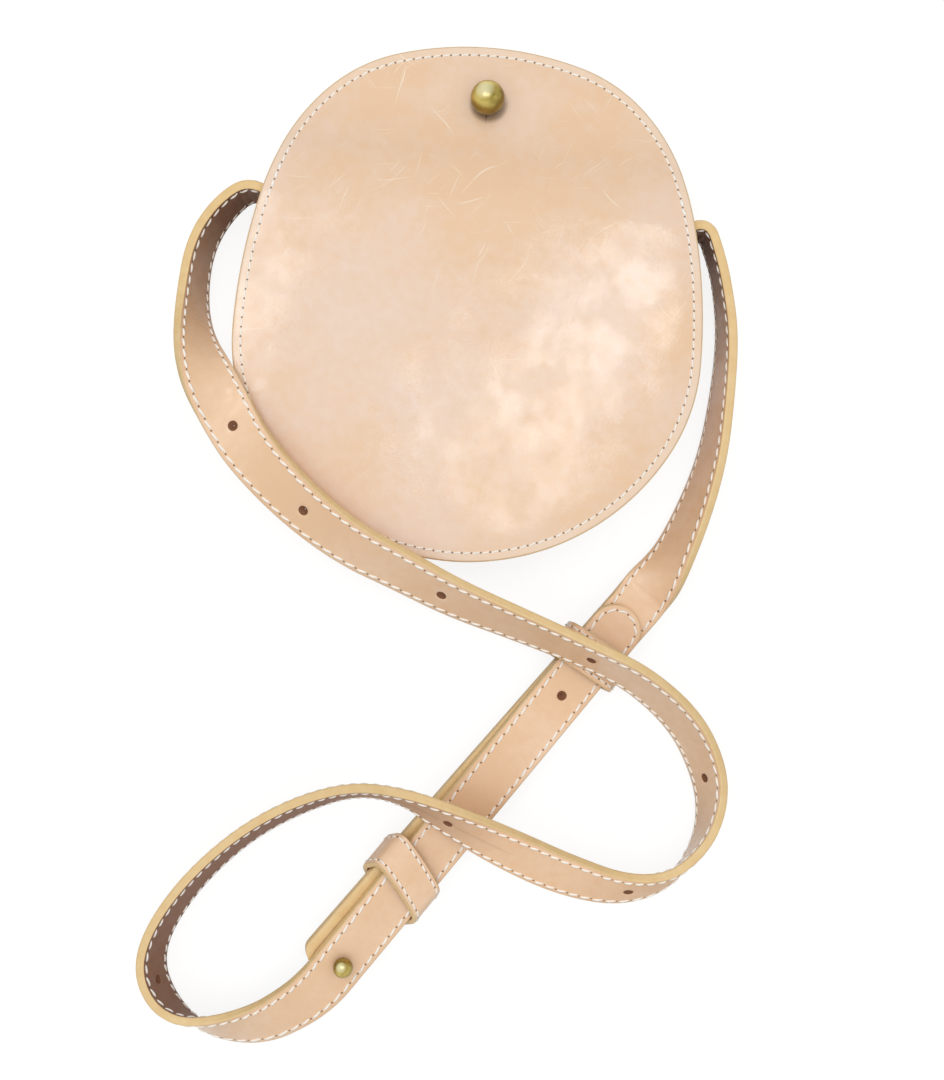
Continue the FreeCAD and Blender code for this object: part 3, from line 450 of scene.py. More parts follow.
# Gusset: one long strip of thinner cowhide that joins the two faces round the sides and the base.
# Its edges are turned out as flanges and sewn between the faces, and its ends are cut below the mouth.
gusset_low, gusset_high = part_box("gusset")
flange_width, gusset_thickness, gusset_bulge = 0.007, 0.0016, 0.0008
gusset_columns, wall_rows = 300, 12
flange_gap, flange_round = 0.00004, 0.0003
inner_low, inner_high = gusset_low.z + flange_gap, gusset_high.z - flange_gap
outer_low, outer_high = gusset_low.z + gusset_thickness, gusset_high.z - gusset_thickness
climb = np.linspace(0, 1, wall_rows)
bulge = gusset_bulge * np.sin(np.pi * climb)
inner_wall = np.stack([flange_width + gusset_thickness - bulge,
                       inner_low + flange_round + climb * (inner_high - inner_low - 2 * flange_round)], -1)
outer_wall = np.stack([flange_width - bulge, outer_low + flange_round
                       + climb * (outer_high - outer_low - 2 * flange_round)], -1)
top_lip = [(flange_width, inner_high), (seam_inset, inner_high), (flange_round, inner_high),
           (0, inner_high - flange_round), (0, outer_high + flange_round), (flange_round, outer_high),
           (seam_inset, outer_high), (flange_width - 2 * flange_round, outer_high)]
base_lip = [(inset, inner_low + inner_high - z) for inset, z in top_lip[::-1]]
section = np.concatenate([inner_wall, top_lip, outer_wall[::-1], base_lip])
way = np.linspace(0, egg_length(0), 4001)
below = np.flatnonzero(egg(way, 0 * way, 0.0)[:, 1] < gusset_high.y)
distance = np.linspace(way[below[0]], way[below[-1]], gusset_columns)
plan = egg(distance[None], section[:, :1] + 0 * distance[None], 0.0)
points = np.concatenate([plan, np.broadcast_to(section[:, 1, None, None], plan.shape[:2] + (1,))], -1)
rows = len(section)
row, column = cells(rows, gusset_columns - 1)
first_end = np.arange(rows)[None] * gusset_columns
gusset = smooth_mesh("gusset_leather", points.reshape(-1, 3), row % rows * gusset_columns + column,
                     first_end, first_end[:, ::-1] + gusset_columns - 1)
on_edge = np.repeat(section[:, 0] < flange_round, gusset_columns)
corner_count = row.size + 2 * rows
mark(gusset, on_edge, 0 * on_edge, np.zeros((corner_count, 2)))
gusset.data.materials.append(leather("waxed_gusset_cowhide", "#E9CBA8", "#DDB287", flesh_and_shade, edge_paint, 0.3,
                                     seam_step, -1.0))
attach(gusset, "bag")
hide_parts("gusset")

# Front of the bag: the same glued and edge-painted cowhide as the back, in one piece from base to crown.
# It is sewn to the gusset as far as the fold, and above it falls to the back as the free mouth flap,
# with a buttonhole and slit that button over the ball. The slack middle sags between the sewn sides.
bag_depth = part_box("front_panel")[1].z
front_drop = bag_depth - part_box("front_mouth")[0].z - board_thickness
neck_hole, slit_length, slit_half = 0.0034, 0.006, 0.00035
rim_fall, sag = 0.0005, 0.0006
sag_reach = (0.078, 0.076)
ripple, ripple_waves = 0.00012, (2 * math.pi / 0.047, 2 * math.pi / 0.061)
ripple_start, ripple_skew = 0.9, 23.0
hole_soft, hole_round, fold_reach = 0.0006, 0.0002, 0.012


def front_height(x, y, inset, depth):
    """The front's layers lie below its face and fall through the bend; the rim falls with the square of the way
    out from the sewn ridge, and the middle sags as a smooth dish with faint waves in it."""
    dish = np.maximum(1 - (x / sag_reach[0]) ** 2 - (y / sag_reach[1]) ** 2, 0) ** 2
    waves = np.sin(x * ripple_waves[0] + ripple_start) * np.sin(y * ripple_waves[1] + x * ripple_skew)
    slack = rim_fall * (1 - inset / rim_width) ** 2 + sag * dish + ripple * dish * waves
    return bag_depth - fall(y, depth, front_drop) - slack


def buttonhole(angle):
    """Reach of the hole's edge in each direction: the neck's circle, and downwards the slit's two parallel sides."""
    slit = slit_half / np.maximum(np.abs(np.cos(angle)), 1e-6)
    return np.where(np.sin(angle) < 0, np.clip(slit, neck_hole, slit_length), neck_hole)


front = face_leather("front_leather", front_height, buttonhole,
                     [(0, board_thickness), (0, hole_soft), (0, hole_round), (hole_round, 0)], False)
front.data.materials.append(panel_hide)
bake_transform(front)
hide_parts("front_panel", "front_lining", "front_mouth", "front_mouth_lining", "buttonhole_lips")

# Seam thread of the two faces: waxed linen, saddle-stitched by hand through panel, lining and gusset,
# each stitch lying at a slant from one needle hole to the next, all the way round. Where the gusset ends,
# a few stitches are sewn twice.
thread_radius, stitch_fill, stitch_slant = 0.00037, 0.86, 0.00024
stitch_rings = np.array([-0.85, -0.45, 0.0, 0.45, 0.85])
stitch_sides = 6
tack_radius, tack_below, tack_above = 0.00062, 0.0065, 0.0025      # the last two off the fold
thread_tones, ply_turn = ("#FBF2E4", "#FFFFFC"), 0.0007
lining_seam_from = fold_y - 0.018


def stitches(name, middles, half_length, place, radius=thread_radius, slant=stitch_slant):
    """Threads from hole to hole: along each, from -1 to 1, the oval section shrinks to a point at both ends with the
    root of 1 - t^4, the thread dips under the leather with t^2, and it slants to one side with t.

    place(distance, side, height) gives the points; distance, side and height make a right-handed set.
    """
    turn = np.arange(stitch_sides) * 2 * math.pi / stitch_sides
    ring = stitch_rings[:, None]
    thick = radius * np.sqrt(1 - ring ** 4)
    along = np.concatenate([(half_length * ring + 0 * turn).ravel(), [-half_length, half_length]])
    side = np.concatenate([(slant * ring + thick * np.cos(turn)).ravel(), [-slant, slant]])
    height = np.concatenate([(radius * (0.15 - 0.7 * ring ** 2) + thick * np.sin(turn)).ravel(),
                             [-0.55 * radius] * 2])
    points = place(middles[:, None] + along, side + 0 * middles[:, None], height + 0 * middles[:, None])
    count, own = len(middles), len(along)
    row, column = cells(len(stitch_rings) - 1, stitch_sides, True)
    tube = row * stitch_sides + column % stitch_sides
    step = np.arange(stitch_sides)
    after, last = (step + 1) % stitch_sides, (len(stitch_rings) - 1) * stitch_sides
    ends = np.concatenate([np.stack([0 * step + own - 2, after, step], -1),
                           np.stack([0 * step + own - 1, last + step, last + after], -1)])
    shift = np.arange(count)[:, None, None] * own
    thread = smooth_mesh(name, points.reshape(-1, 3), (tube + shift).reshape(-1, 4), (ends + shift).reshape(-1, 3))
    thread.data.materials.append(linen)
    return thread


linen, tree, shader = new_material("waxed_linen_thread")
# Cream thread with the twist of its plies, 0.7 mm a turn, in the colour and relief, and a dull wax shine.
plies = noise(node(tree, "ShaderNodeTexCoord").outputs["Object"], ply_turn, 2.0)
twist = node(tree, "ShaderNodeBump", {"Height": plies, "Strength": 0.5, "Distance": 0.0001})
wire(shader, {"Base Color": mix(plies, *thread_tones), "Normal": twist.outputs[0], "Roughness": 0.62})


def seam_on(height, outside, depth):
    """Places a thread on a face: the outline set in at the seam gives the plan, the face's own height the level."""
    def place(distance, side, up):
        plan = egg(distance, seam_inset + outside * side)
        x, y = plan[..., 0], plan[..., 1]
        inset, layer = seam_inset + 0 * x, depth + 0 * x
        return np.stack([x, y, height(x, y, inset, layer) + outside * up], -1)
    return place


middles = (np.arange(seam_count) + 0.5) * seam_step
levels = egg(middles, 0 * middles + seam_inset)[:, 1]
free = middles[levels > lining_seam_from]
tacked = middles[(levels > fold_y - tack_below) & (levels < fold_y + tack_above)]
half_stitch = seam_step / 2 * stitch_fill
for name, height, outside, depth, chosen, radius in (
        ("front_seam_thread", front_height, 1, 0.0, middles, thread_radius),
        ("front_back_tack", front_height, 1, 0.0, tacked, tack_radius),
        ("front_lining_thread", front_height, -1, board_thickness, free, thread_radius),
        ("back_seam_thread", back_height, -1, 0.0, middles, thread_radius),
        ("back_lining_thread", back_height, 1, board_thickness, free, thread_radius)):
    thread = stitches(name, chosen, half_stitch, seam_on(height, outside, depth), radius)
    if height is front_height:
        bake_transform(thread)
    else:
        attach(thread, "bag")

# Closure stud: a brass ball on a neck and flange, turned in one piece and brushed, left to tarnish.
# It stands on the back lining, held by a screw from behind, and comes up through the buttonhole.
stud_base, stud_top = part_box("closure_stud")[0].z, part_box("closure_stud")[1].z
# radii of the ball, neck and flange, the flange's height, the bore's radius and height
closure_sizes = (0.0066, 0.0030, 0.0060, 0.0012, 0.00205, 0.00605)
ball_rows, turned_columns = 28, 56
# painted light on the brass: a highlight colour on the side turned to the light, a shade colour on the sides
tarnish_size, turning_size, painted_highlight_side = 0.005, 0.0003, (-0.22, 0.26, 0.94)
brass_tones, painted_highlight_tone, painted_shade_tone = ("#CBB568", "#91803E"), "#F2EBC0", "#6E5C2C"


def turned(name, foot, axes, base, top, sizes):
    """Turned stud: a profile of radius and level carried round an axis, from the bore's end down its wall, out under
    the flange, up its rounded edge, up the neck with a fillet, and over the ball to its pole.

    Levels run along the third of the axes from the foot."""
    ball, neck, flange, flange_tall, bore, bore_tall = sizes
    lowest = math.acos(-math.sqrt(1 - (neck / ball) ** 2))
    rise = np.linspace(lowest, 0, ball_rows)
    soft, shelf = flange_tall / 4, base + flange_tall
    profile = np.concatenate([
        [(0, base + bore_tall), (bore, base + bore_tall), (bore, base), (flange - soft, base), (flange, base + soft),
         (flange, shelf - soft), (flange - soft, shelf), (neck + 2 * soft, shelf), (neck + soft / 2, shelf + soft),
         (neck, shelf + 3 * soft)],
        np.stack([ball * np.sin(rise), top - ball + ball * np.cos(rise)], -1)])
    turn = np.arange(turned_columns) * 2 * math.pi / turned_columns
    radius, level = profile[:, :1], profile[:, 1:] + 0 * turn
    points = np.array(foot) + np.stack([radius * np.cos(turn), radius * np.sin(turn), level], -1) @ np.array(axes)
    row, column = cells(len(profile) - 1, turned_columns, True)
    piece = smooth_mesh(name, points.reshape(-1, 3), row * turned_columns + column % turned_columns)
    weld(piece)
    return piece


def weld(piece):
    """Merges the points that a pole or a closed end brings together."""
    work = bmesh.new()
    work.from_mesh(piece.data)
    bmesh.ops.remove_doubles(work, verts=work.verts, dist=1e-7)
    work.to_mesh(piece.data)
    work.free()


brass, tree, shader = new_material("brushed_tarnished_brass")
# Satin yellow metal gone brown in clouds some 5 mm across, with fine turning marks 0.3 mm apart, and painted light:
# a painted highlight on the side turned up and to the upper left, and painted shade on the sides.
place = node(tree, "ShaderNodeTexCoord").outputs
tarnish = noise(place["Object"], tarnish_size, 4.0)
marks = node(tree, "ShaderNodeMapping", {"Vector": place["Object"], "Scale": (0.15, 0.15, 1.0)})
turning = noise(marks.outputs[0], turning_size, 2.0)
highlight_facing = vector_of("DOT_PRODUCT", place["Normal"], painted_highlight_side)["Value"]
tone = mix(ramp(tarnish, 0.35, 0.65), *brass_tones)
# painted highlight on the side turned up and to the upper left
tone = mix(ramp(highlight_facing, 0.80, 1.0, 0.0, 0.7), tone, painted_highlight_tone)
# painted shade on the sides turned away from that
tone = mix(ramp(highlight_facing, 0.65, 0.30, 0.0, 0.6), tone, painted_shade_tone)
fine = node(tree, "ShaderNodeBump", {"Height": turning, "Strength": 0.15, "Distance": 0.00005})
wire(shader, {"Base Color": tone, "Roughness": ramp(tarnish, 0.0, 1.0, 0.22, 0.42),
                    "Normal": fine.outputs[0], "Metallic": 1.0})

stud = turned("closure_ball_stud", (0, stud_y, 0), np.eye(3), stud_base, stud_top, closure_sizes)
stud.data.materials.append(brass)
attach(stud, "bag")
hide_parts("closure_stud")
for screw in ("closure_screw", "strap_stud_screw"):
    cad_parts[screw].data.materials.clear()
    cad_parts[screw].data.materials.append(brass)

# Strap: two lengths of cowhide, each of two layers glued back to back, sewn along both sides and edge
# painted. The long one leaves the bag's left side and loops round to a rounded tip with punched holes;
# the short one leaves the right side, lies under its last stretch and carries the strap stud.
strap_width, strap_thickness = 0.021, 0.0036
strap_step, dense_steps = 0.00112, 48
across_points, edge_round = 19, 0.0005
punch_radius, punch_waist, hole_pitch = 0.0020, 0.00015, 0.0684
strap_seam, strap_pitch, strap_slant = 0.0082, 0.0048, -0.0004
strap_thread, under_thread = 0.00050, 0.00035
past_shade_pitches = 125                    # moves the short strap's seam map on past the stretch whose back has painted shade
# dark brown of the hole walls: cut fibre, painted darker as the shade in the holes
hole_shade_tones, fibre_size = ("#8A5B3C", "#6A432B"), 0.0005
strap_wax = 0.4
wrinkle_wave, wrinkle_height, bend_limit = 0.0034, 0.00030, (25.0, 60.0)     # metres, metres, 1/metres
wrinkle_drift, bend_window = (0.006, 0.011), 31
tip_rows, sharp_angle = 21, math.radians(55)
# across, along, roll in degrees and lift of each pole, as shares of the half width, of the fold's height
# above the widest level or the half width below it, and of the bag's depth
long_route = np.array([
    (-0.87, -0.01, -90, 0.13), (-0.87, 0.28, -90, 0.13), (-0.84, 0.54, -90, 0.13), (-0.80, 0.78, -90, 0.13),
    (-0.98, 0.94, -88, 0.13), (-1.11, 0.78, -82, 0.09), (-1.20, 0.53, -78, 0.04), (-1.21, 0.19, -74, 0.11),
    (-1.16, -0.07, -58, 0.58), (-1.07, -0.23, -26, 1.05), (-0.985, -0.37, 0, 1.08), (-0.87, -0.53, 18, 1.02),
    (-0.65, -0.73, 30, 0.94), (-0.42, -0.88, 38, 0.85), (-0.21, -0.965, 44, 0.74), (0.03, -1.07, 50, 0.67),
    (0.32, -1.16, 58, 0.65), (0.64, -1.265, 64, 0.66), (0.86, -1.355, 61, 0.58), (1.08, -1.525, 58, 0.28),
    (1.205, -1.73, 60, 0.04), (1.235, -1.90, 74, 0.00), (1.20, -2.07, 90, 0.00), (1.08, -2.235, 111, 0.00),
    (0.87, -2.29, 130, 0.11), (0.61, -2.23, 144, 0.32), (0.36, -2.125, 143, 0.58), (0.09, -2.00, 126, 0.80),
    (-0.10, -1.92, 107, 0.76), (-0.32, -1.925, 104, 0.34), (-0.56, -2.03, 107, 0.05), (-0.79, -2.18, 106, 0.00),
    (-1.00, -2.40, 106, 0.00), (-1.14, -2.64, 106, 0.00), (-1.16, -2.82, 104, 0.00), (-1.06, -2.975, 94, 0.00),
    (-0.88, -3.045, 60, 0.00), (-0.66, -3.02, 34, 0.03), (-0.50, -2.91, 25, 0.17)])
short_route = np.array([
    (0.87, -0.01, 90, 0.13), (0.87, 0.29, 90, 0.13), (0.84, 0.52, 90, 0.13), (0.79, 0.75, 90, 0.13),
    (0.98, 0.94, 88, 0.13), (1.05, 0.71, 89, 0.11), (1.09, 0.53, 88, 0.05), (1.13, 0.24, 84, 0.00),
    (1.13, -0.09, 80, 0.00), (1.11, -0.37, 73, 0.00), (1.045, -0.63, 63, 0.00), (0.957, -0.86, 51, 0.05)])
tip = np.array([0.81, -1.065]) * half_width
strap_stud_spot = np.array([-0.325, -2.703]) * half_width
doubled = float(np.hypot(*(strap_stud_spot - tip)))
along_tail = (strap_stud_spot - tip) / doubled
overhang, flat_margin = 0.0075, 0.005
long_straight = np.array([doubled + overhang + flat_margin, doubled + overhang - flat_margin, 0.56 * doubled,
                          0.22 * doubled, 0.0])
short_straight = np.array([-flat_margin, flat_margin, 0.22 * doubled, 0.56 * doubled, 0.89 * doubled,
                           doubled + overhang])
tail_level, tip_lean, stud_lean = 0.0113568, math.radians(6), math.radians(18)
# the short strap lies a layer below the long one, a shift aside at the tip and a turn further at the stud
strap_stack, under_turn, under_shift = 0.0038, 0.0055, -0.0012
flat_lift, blunt_end, blunt_length = 0.15, 0.7, 0.0055
paint_reach, painted_from = 0.165, 0.65          # along the short strap's face, and as a share of half its width
hole_shares = np.array([0.273, 0.437, 0.517, 0.580, 0.653, 0.716, 0.778, 0.820])
strap_edge = np.array([(0.30, 1.72), (0.13, 1.52), (0.04, 1.15), (0.00, 0.60), (0.01, 0.15), (0.04, 0.00),
                       (0.01, -0.15), (0.00, -0.60), (0.04, -1.15), (0.13, -1.52), (0.30, -1.72)]) / 1000


def tail_frame(distance):
    """Lean, middle, width direction and face normal of the long strap's last stretch: the lean grows evenly from the
    tip to the stud."""
    lean = tip_lean + (stud_lean - tip_lean) * distance / doubled
    cos, sin = np.cos(lean)[..., None], np.sin(lean)[..., None]
    middle = np.array([*tip, tail_level]) + distance[..., None] * np.array([*along_tail, 0.0])
    across, up = np.array([-along_tail[1], along_tail[0], 0.0]), np.array([0.0, 0.0, 1.0])
    return lean, middle, across * cos - up * sin, up * cos + across * sin


def strap_line(route, straight, sense, below, aside):
    """Middle line of a strap, measured from its far end: distances, centres, width directions and face normals.

    A quadratic spline on the poles: each span runs from the middle of one pole pair to the middle of the
    next, drawn to the pole between. Rolled by an angle about its heading, the strap's face leans to the
    right of the run, and its centre stands half its tilted section above the lift, a little more where it
    lies nearly flat, so that it passes from one tilt to the other without a kink. On the straight stretch
    the middle lies below and aside of the long strap's.
    """
    scale = np.where(route[:, 1] > 0, fold_y, half_width)
    lean, middle, wide, normal = tail_frame(straight)
    middle = middle - below * normal - aside[:, None] * wide
    reach = strap_width * np.hypot(wide[:, 2], flat_lift) + strap_thickness * normal[:, 2]
    laid = np.stack([route[:, 0] * half_width, route[:, 1] * scale, np.radians(route[:, 2]),
                     route[:, 3] * bag_depth], -1)
    tail = np.stack([middle[:, 0], middle[:, 1], sense * lean, middle[:, 2] - reach / 2], -1)
    poles = np.concatenate([laid, tail])
    joins = (poles[1:] + poles[:-1]) / 2
    joins[0], joins[-1] = poles[0], poles[-1]
    spans = len(poles) - 2
    at = np.linspace(0, spans, spans * dense_steps + 1)
    span = np.minimum(at.astype(int), spans - 1)
    share = (at - span)[:, None]
    first, middle, last = joins[span], poles[span + 1], joins[span + 1]
    here = (1 - share) ** 2 * first + 2 * share * (1 - share) * middle + share ** 2 * last
    heading = ((1 - share) * (middle - first) + share * (last - middle))[:, :2]
    heading /= np.linalg.norm(heading, axis=1)[:, None]
    roll = here[:, 2]
    right = np.stack([heading[:, 1], -heading[:, 0], 0 * roll], -1)
    up = np.array([0.0, 0.0, 1.0])
    cos, sin = np.cos(roll)[:, None], np.sin(roll)[:, None]
    lifted = here[:, 3] + (strap_width * np.hypot(sin, flat_lift) + strap_thickness * np.abs(cos))[:, 0] / 2
    centre = np.concatenate([here[:, :2], lifted[:, None]], -1)[::-1]
    gone = np.concatenate([[0], np.cumsum(np.linalg.norm(np.diff(centre, axis=0), axis=1))])
    return gone, centre, (right * cos - up * sin)[::-1], (up * cos + right * sin)[::-1]


def along(line, distance):
    """Centre, width direction, face normal at distances along a strap's line, between its points."""
    return [np.stack([np.interp(distance, line[0], column) for column in table.T], -1) for table in line[1:]]


def strap_leather(name, line, holes, aside, on_stud, rounded):
    """Strap with real holes: rows go along the line from the far end, columns round the section over the face, an
    edge with its glue groove, the back and the other edge.

    A rounded end is the section set in along a half circle. Any other narrows to a blunt end, and for the
    paint's reach from it the face is not sewn and the paint comes over onto its margins. Round a hole,
    aside of the middle, the grid's square rings are drawn to circles, its inner cells are left out, and a
    wall joins face and back, drawn in at the waist but for the hole on the stud. On the hollow side of a
    sharp bend the face folds in small waves across the strap.
    """
    length, half, holes = line[0][-1], strap_width / 2, np.sort(holes)
    stops = np.concatenate([[half if rounded else 0.0], holes, [length]])
    runs = [np.linspace(a, b, max(round((b - a) / strap_step), 1) + 1)[:-1] for a, b in zip(stops[:-1], stops[1:])]
    centres = np.concatenate(runs + [[length]])
    hole_rows = np.searchsorted(centres, holes - 1e-9)
    tip_turn = np.linspace(0, math.pi / 2, tip_rows + 1)[:-1] if rounded else np.array([])
    rows_at = np.concatenate([np.full(len(tip_turn), half), centres])
    turn = np.concatenate([tip_turn, np.full(len(centres), math.pi / 2)])
    hole_rows = hole_rows + len(tip_turn)
    share = np.concatenate([[-1, -0.86], np.linspace(-0.8, 0.8, across_points - 4), [0.86, 1]])
    ones = np.ones(len(strap_edge))
    shares = np.concatenate([share, ones, share[::-1], -ones])
    insets = np.concatenate([0 * share + edge_round, strap_edge[:, 0], 0 * share + edge_round, strap_edge[::-1, 0]])
    heights = np.concatenate([0 * share + strap_thickness / 2, strap_edge[:, 1], 0 * share - strap_thickness / 2,
                              strap_edge[::-1, 1]])
    on_face = np.concatenate([0 * share + 1, 0 * ones, 0 * share - 1, 0 * ones])
    columns, rows = len(shares), len(rows_at)
    s = rows_at[:, None] - (half - insets) * np.cos(turn)[:, None]
    v = shares * (half - insets) * np.sin(turn)[:, None]
    if not rounded:
        v = v * np.sqrt(1 - blunt_end * np.maximum(1 - s / blunt_length, 0) ** 2)
    middle = int(np.abs(share * half - aside).argmin())
    back_middle = 2 * across_points + len(ones) - 1 - middle
    a, b = np.mgrid[-4:5, -4:5]
    ring = np.maximum(np.abs(a), np.abs(b))
    angle = np.arctan2(b, a)
    draw = np.select([ring <= 2, ring == 3], [1.0, 0.5], 0.0)
    reach = np.select([ring <= 2, ring == 3], [punch_radius * ring / 2, punch_radius * 1.6], 0.0)
    for row_at, where in zip(hole_rows, holes):
        for column_at, side in ((middle, 1), (back_middle, -1)):
            block = np.ix_(row_at + np.arange(-4, 5), column_at + np.arange(-4, 5))
            s[block] += draw * (where + reach * np.cos(angle) - s[block])
            v[block] += draw * (aside + side * reach * np.sin(angle) - v[block])
    c, w, n = along(line, s)
    bend = np.gradient(np.gradient(line[1], line[0], axis=0), line[0], axis=0)
    bend = np.convolve((bend * line[3]).sum(1), np.ones(bend_window) / bend_window, "same")
    hollow = np.interp(s, line[0], bend) * on_face
    fold = np.clip((hollow - bend_limit[0]) / (bend_limit[1] - bend_limit[0]), 0, 1)
    wave = np.sin(2 * math.pi * s / wrinkle_wave + 0.6 * np.sin(v / wrinkle_drift[0] + s / wrinkle_drift[1]))
    heights = heights + on_face * wrinkle_height * fold * (wave - 0.6)
    points = c + w * v[..., None] + n * heights[..., None]
    row, column = cells(rows - 1, columns)
    gone = np.zeros((rows - 1, columns), bool)
    for row_at in hole_rows:
        for column_at in (middle, back_middle):
            gone[row_at - 2:row_at + 2, column_at - 2:column_at + 2] = True
    keep = ~gone.ravel()
    row, column = row[keep], column[keep]
    walk = np.concatenate([np.arange(-2, 2), [2] * 4, np.arange(2, -2, -1), [-2] * 4])
    ring_rows, ring_columns = -np.roll(walk, 4), walk
    after = np.roll(np.arange(16), -1)
    upper = (hole_rows[:, None] + ring_rows) * columns + middle + ring_columns
    lower = (hole_rows[:, None] + ring_rows) * columns + back_middle - ring_columns
    tight = np.where(holes == on_stud, punch_radius, punch_waist)[:, None]
    turn_round = np.arctan2(ring_columns, ring_rows)
    c, w, n = along(line, holes[:, None] + tight * np.cos(turn_round))
    waist = c + w * (aside + tight * np.sin(turn_round))[..., None]
    inner = rows * columns + np.arange(waist[..., 0].size).reshape(upper.shape)
    wall = np.concatenate([np.stack([high, high[:, after], low[:, after], low], -1).reshape(-1, 4)
                           for high, low in ((upper, inner), (inner, lower))])
    ends = [np.arange(columns)[None, ::-1] + (rows - 1) * columns]
    if not rounded:
        ends.append(np.arange(columns)[None])
    points = np.concatenate([points.reshape(-1, 3), waist.reshape(-1, 3)])
    piece = smooth_mesh(name, points, np.concatenate([row * columns + column % columns, wall]), *ends)
    lining = np.tile(np.concatenate([0 * share, strap_edge[:, 1] < 0, 0 * share + 1, strap_edge[::-1, 1] < 0]), rows)
    unsewn = (on_face == 1) & (s < (0 if rounded else paint_reach))
    edge = unsewn & (np.abs(shares) > painted_from) | (on_face == 0)
    short_of = np.maximum(half - s, 0)
    row_place = strap_seam * np.arctan2(np.abs(v), short_of) + np.maximum(s - half, 0)
    row_place = row_place + (0 if rounded else past_shade_pitches * strap_pitch)
    seam_map = np.stack([row_place, np.hypot(short_of, v) + unsewn], -1)
    loops = np.concatenate([seam_map[row, column % columns].reshape(-1, 2), np.zeros((wall.size, 2)),
                            np.zeros((columns * len(ends), 2))])
    none = np.zeros(inner.size)
    mark(piece, np.append(edge, none), np.append(lining, none), loops)
    inside = np.concatenate([np.zeros(len(row)), np.ones(len(wall)), np.zeros(len(ends))]).astype(np.int32)
    piece.data.polygons.foreach_set("material_index", inside)
    weld(piece)
    piece.data.set_sharp_from_angle(angle=sharp_angle)
    return piece


punched, tree, shader = new_material("punched_cowhide_hole_shade")
# Brown fibre of the cut leather inside the holes, painted darker as the shade in them, matt, in specks 0.5 mm across.
fibre = noise(node(tree, "ShaderNodeTexCoord").outputs["Object"], fibre_size, 3.0)
wire(shader, {"Base Color": mix(fibre, *hole_shade_tones), "Roughness": 0.8})
# the straps get painted shade, browner and dull, where they go into the bag
strap_hide = leather("waxed_strap_cowhide", "#F5D4B4", "#ECC49D", flesh_and_shade, edge_paint, strap_wax, strap_pitch,
                     strap_seam, tuck_shade=0.85)
long_line = strap_line(long_route, long_straight, 1, 0, 0 * long_straight)
short_line = strap_line(short_route, short_straight, -1, strap_stack,
                        under_turn * short_straight / doubled + under_shift)
long_holes = np.concatenate([doubled - hole_pitch * np.arange(3), hole_shares * long_line[0][-1]])
for name, line, holes, aside, nodes in (
        ("long_strap", long_line, long_holes, 0.0, ("strap_long", "strap_long_lining")),
        ("short_strap", short_line, np.array([overhang]), -under_turn - under_shift,
         ("strap_short", "strap_short_lining"))):
    strap = strap_leather(name, line, holes, aside, holes[0], name == "long_strap")
    strap.data.materials.append(strap_hide)
    strap.data.materials.append(punched)
    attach(strap, "bag")
    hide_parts(*nodes)

# Strap thread: the same waxed linen, in one row along each side of both straps and round the long one's tip,
# saddle-stitched so that face and back show the same row. On the short strap's painted stretch only the
# back shows it.


def strap_seam_place(line, face):
    """Places a thread on a strap's face (1) or back (-1): the row comes down one side to the tip, goes round it in a
    half circle and back up the other side."""
    half = strap_width / 2
    curve = math.pi * strap_seam / 2

    def place(distance, side, up):
        angle = np.clip(distance / strap_seam, -math.pi / 2, math.pi / 2)
        past = np.maximum(np.abs(distance) - curve, 0)
        reach = strap_seam + face * side
        s = half - reach * np.cos(angle) + past
        c, w, n = along(line, s)
        return c - w * (reach * np.sin(angle))[..., None] + n * (face * (strap_thickness / 2 + up))[..., None]
    return place


for name, line, under_radius, sewn_from in (("long_strap_thread", long_line, strap_thread, 0.0),
                                            ("short_strap_thread", short_line, under_thread, paint_reach)):
    half_row = math.pi * strap_seam / 2 + line[0][-1] - strap_width / 2
    count = int(half_row / strap_pitch)
    middles = (np.arange(-count, count) + 0.5) * strap_pitch
    for face, side_name, radius, start in ((1, "face", strap_thread, sewn_from), (-1, "back", under_radius, 0.0)):
        thread = stitches(f"{name}_{side_name}", middles[np.abs(middles) >= start], strap_pitch / 2 * stitch_fill,
                          strap_seam_place(line, face), radius, strap_slant)
        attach(thread, "bag")

# Strap stud: a smaller brass ball of the same turning, screwed through the short strap; the long strap's
# hole is pushed over it.
small_low, small_high = -0.0029, 0.0092
small_sizes = (0.0039, 0.0019, 0.0043, 0.0009, 0.00125, 0.00365)
_, small_foot, small_wide, small_up = tail_frame(np.array(doubled))
small_axes = (small_wide, -np.array([*along_tail, 0.0]), small_up)
small = turned("strap_ball_stud", small_foot, small_axes, small_low, small_high, small_sizes)
small.data.materials.append(brass)
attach(small, "bag")
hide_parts("strap_stud")

# Keepers: two closed loops of strap leather, skived, butted and sewn along both edges, which hold the
# strap's two lengths together and slide along them.
keeper_half, keeper_length, keeper_wall, keeper_corner = 0.0150, 0.0155, 0.0022, 0.0043
keeper_low, keeper_high = -0.0086, 0.0048
keeper_swell, slouch_level = 0.0018, -0.0010
keeper_columns = 160
keeper_seam, keeper_pitch = 0.0058, 0.0036
stud_side_place, tip_side_place = doubled - 0.0405, 0.0247
stud_side_lie = (0.6, 0.34, 0.0018, 0.0)         # slouch, skew, aside, drop
tip_side_lie = (0.1, -0.1, 0.0004, 0.0004)
inner_face = 0.99 * keeper_wall
inner_x = keeper_half - keeper_corner
inner_z = np.array([keeper_low + keeper_corner, keeper_high - keeper_corner])
corner_arc = keeper_corner * math.pi / 2
keeper_runs = np.array([inner_z[1] - inner_z[0], corner_arc, 2 * inner_x, corner_arc] * 2)
keeper_stops = np.concatenate([[0], np.cumsum(keeper_runs)])
keeper_angles = np.array([0, 0, 1, 1, 2, 2, 3, 3, 4]) * math.pi / 2
centre_x = np.array([1, 1, 1, -1, -1, -1, -1, 1, 1]) * inner_x
centre_z = inner_z[[0, 1, 1, 1, 1, 0, 0, 0, 0]]


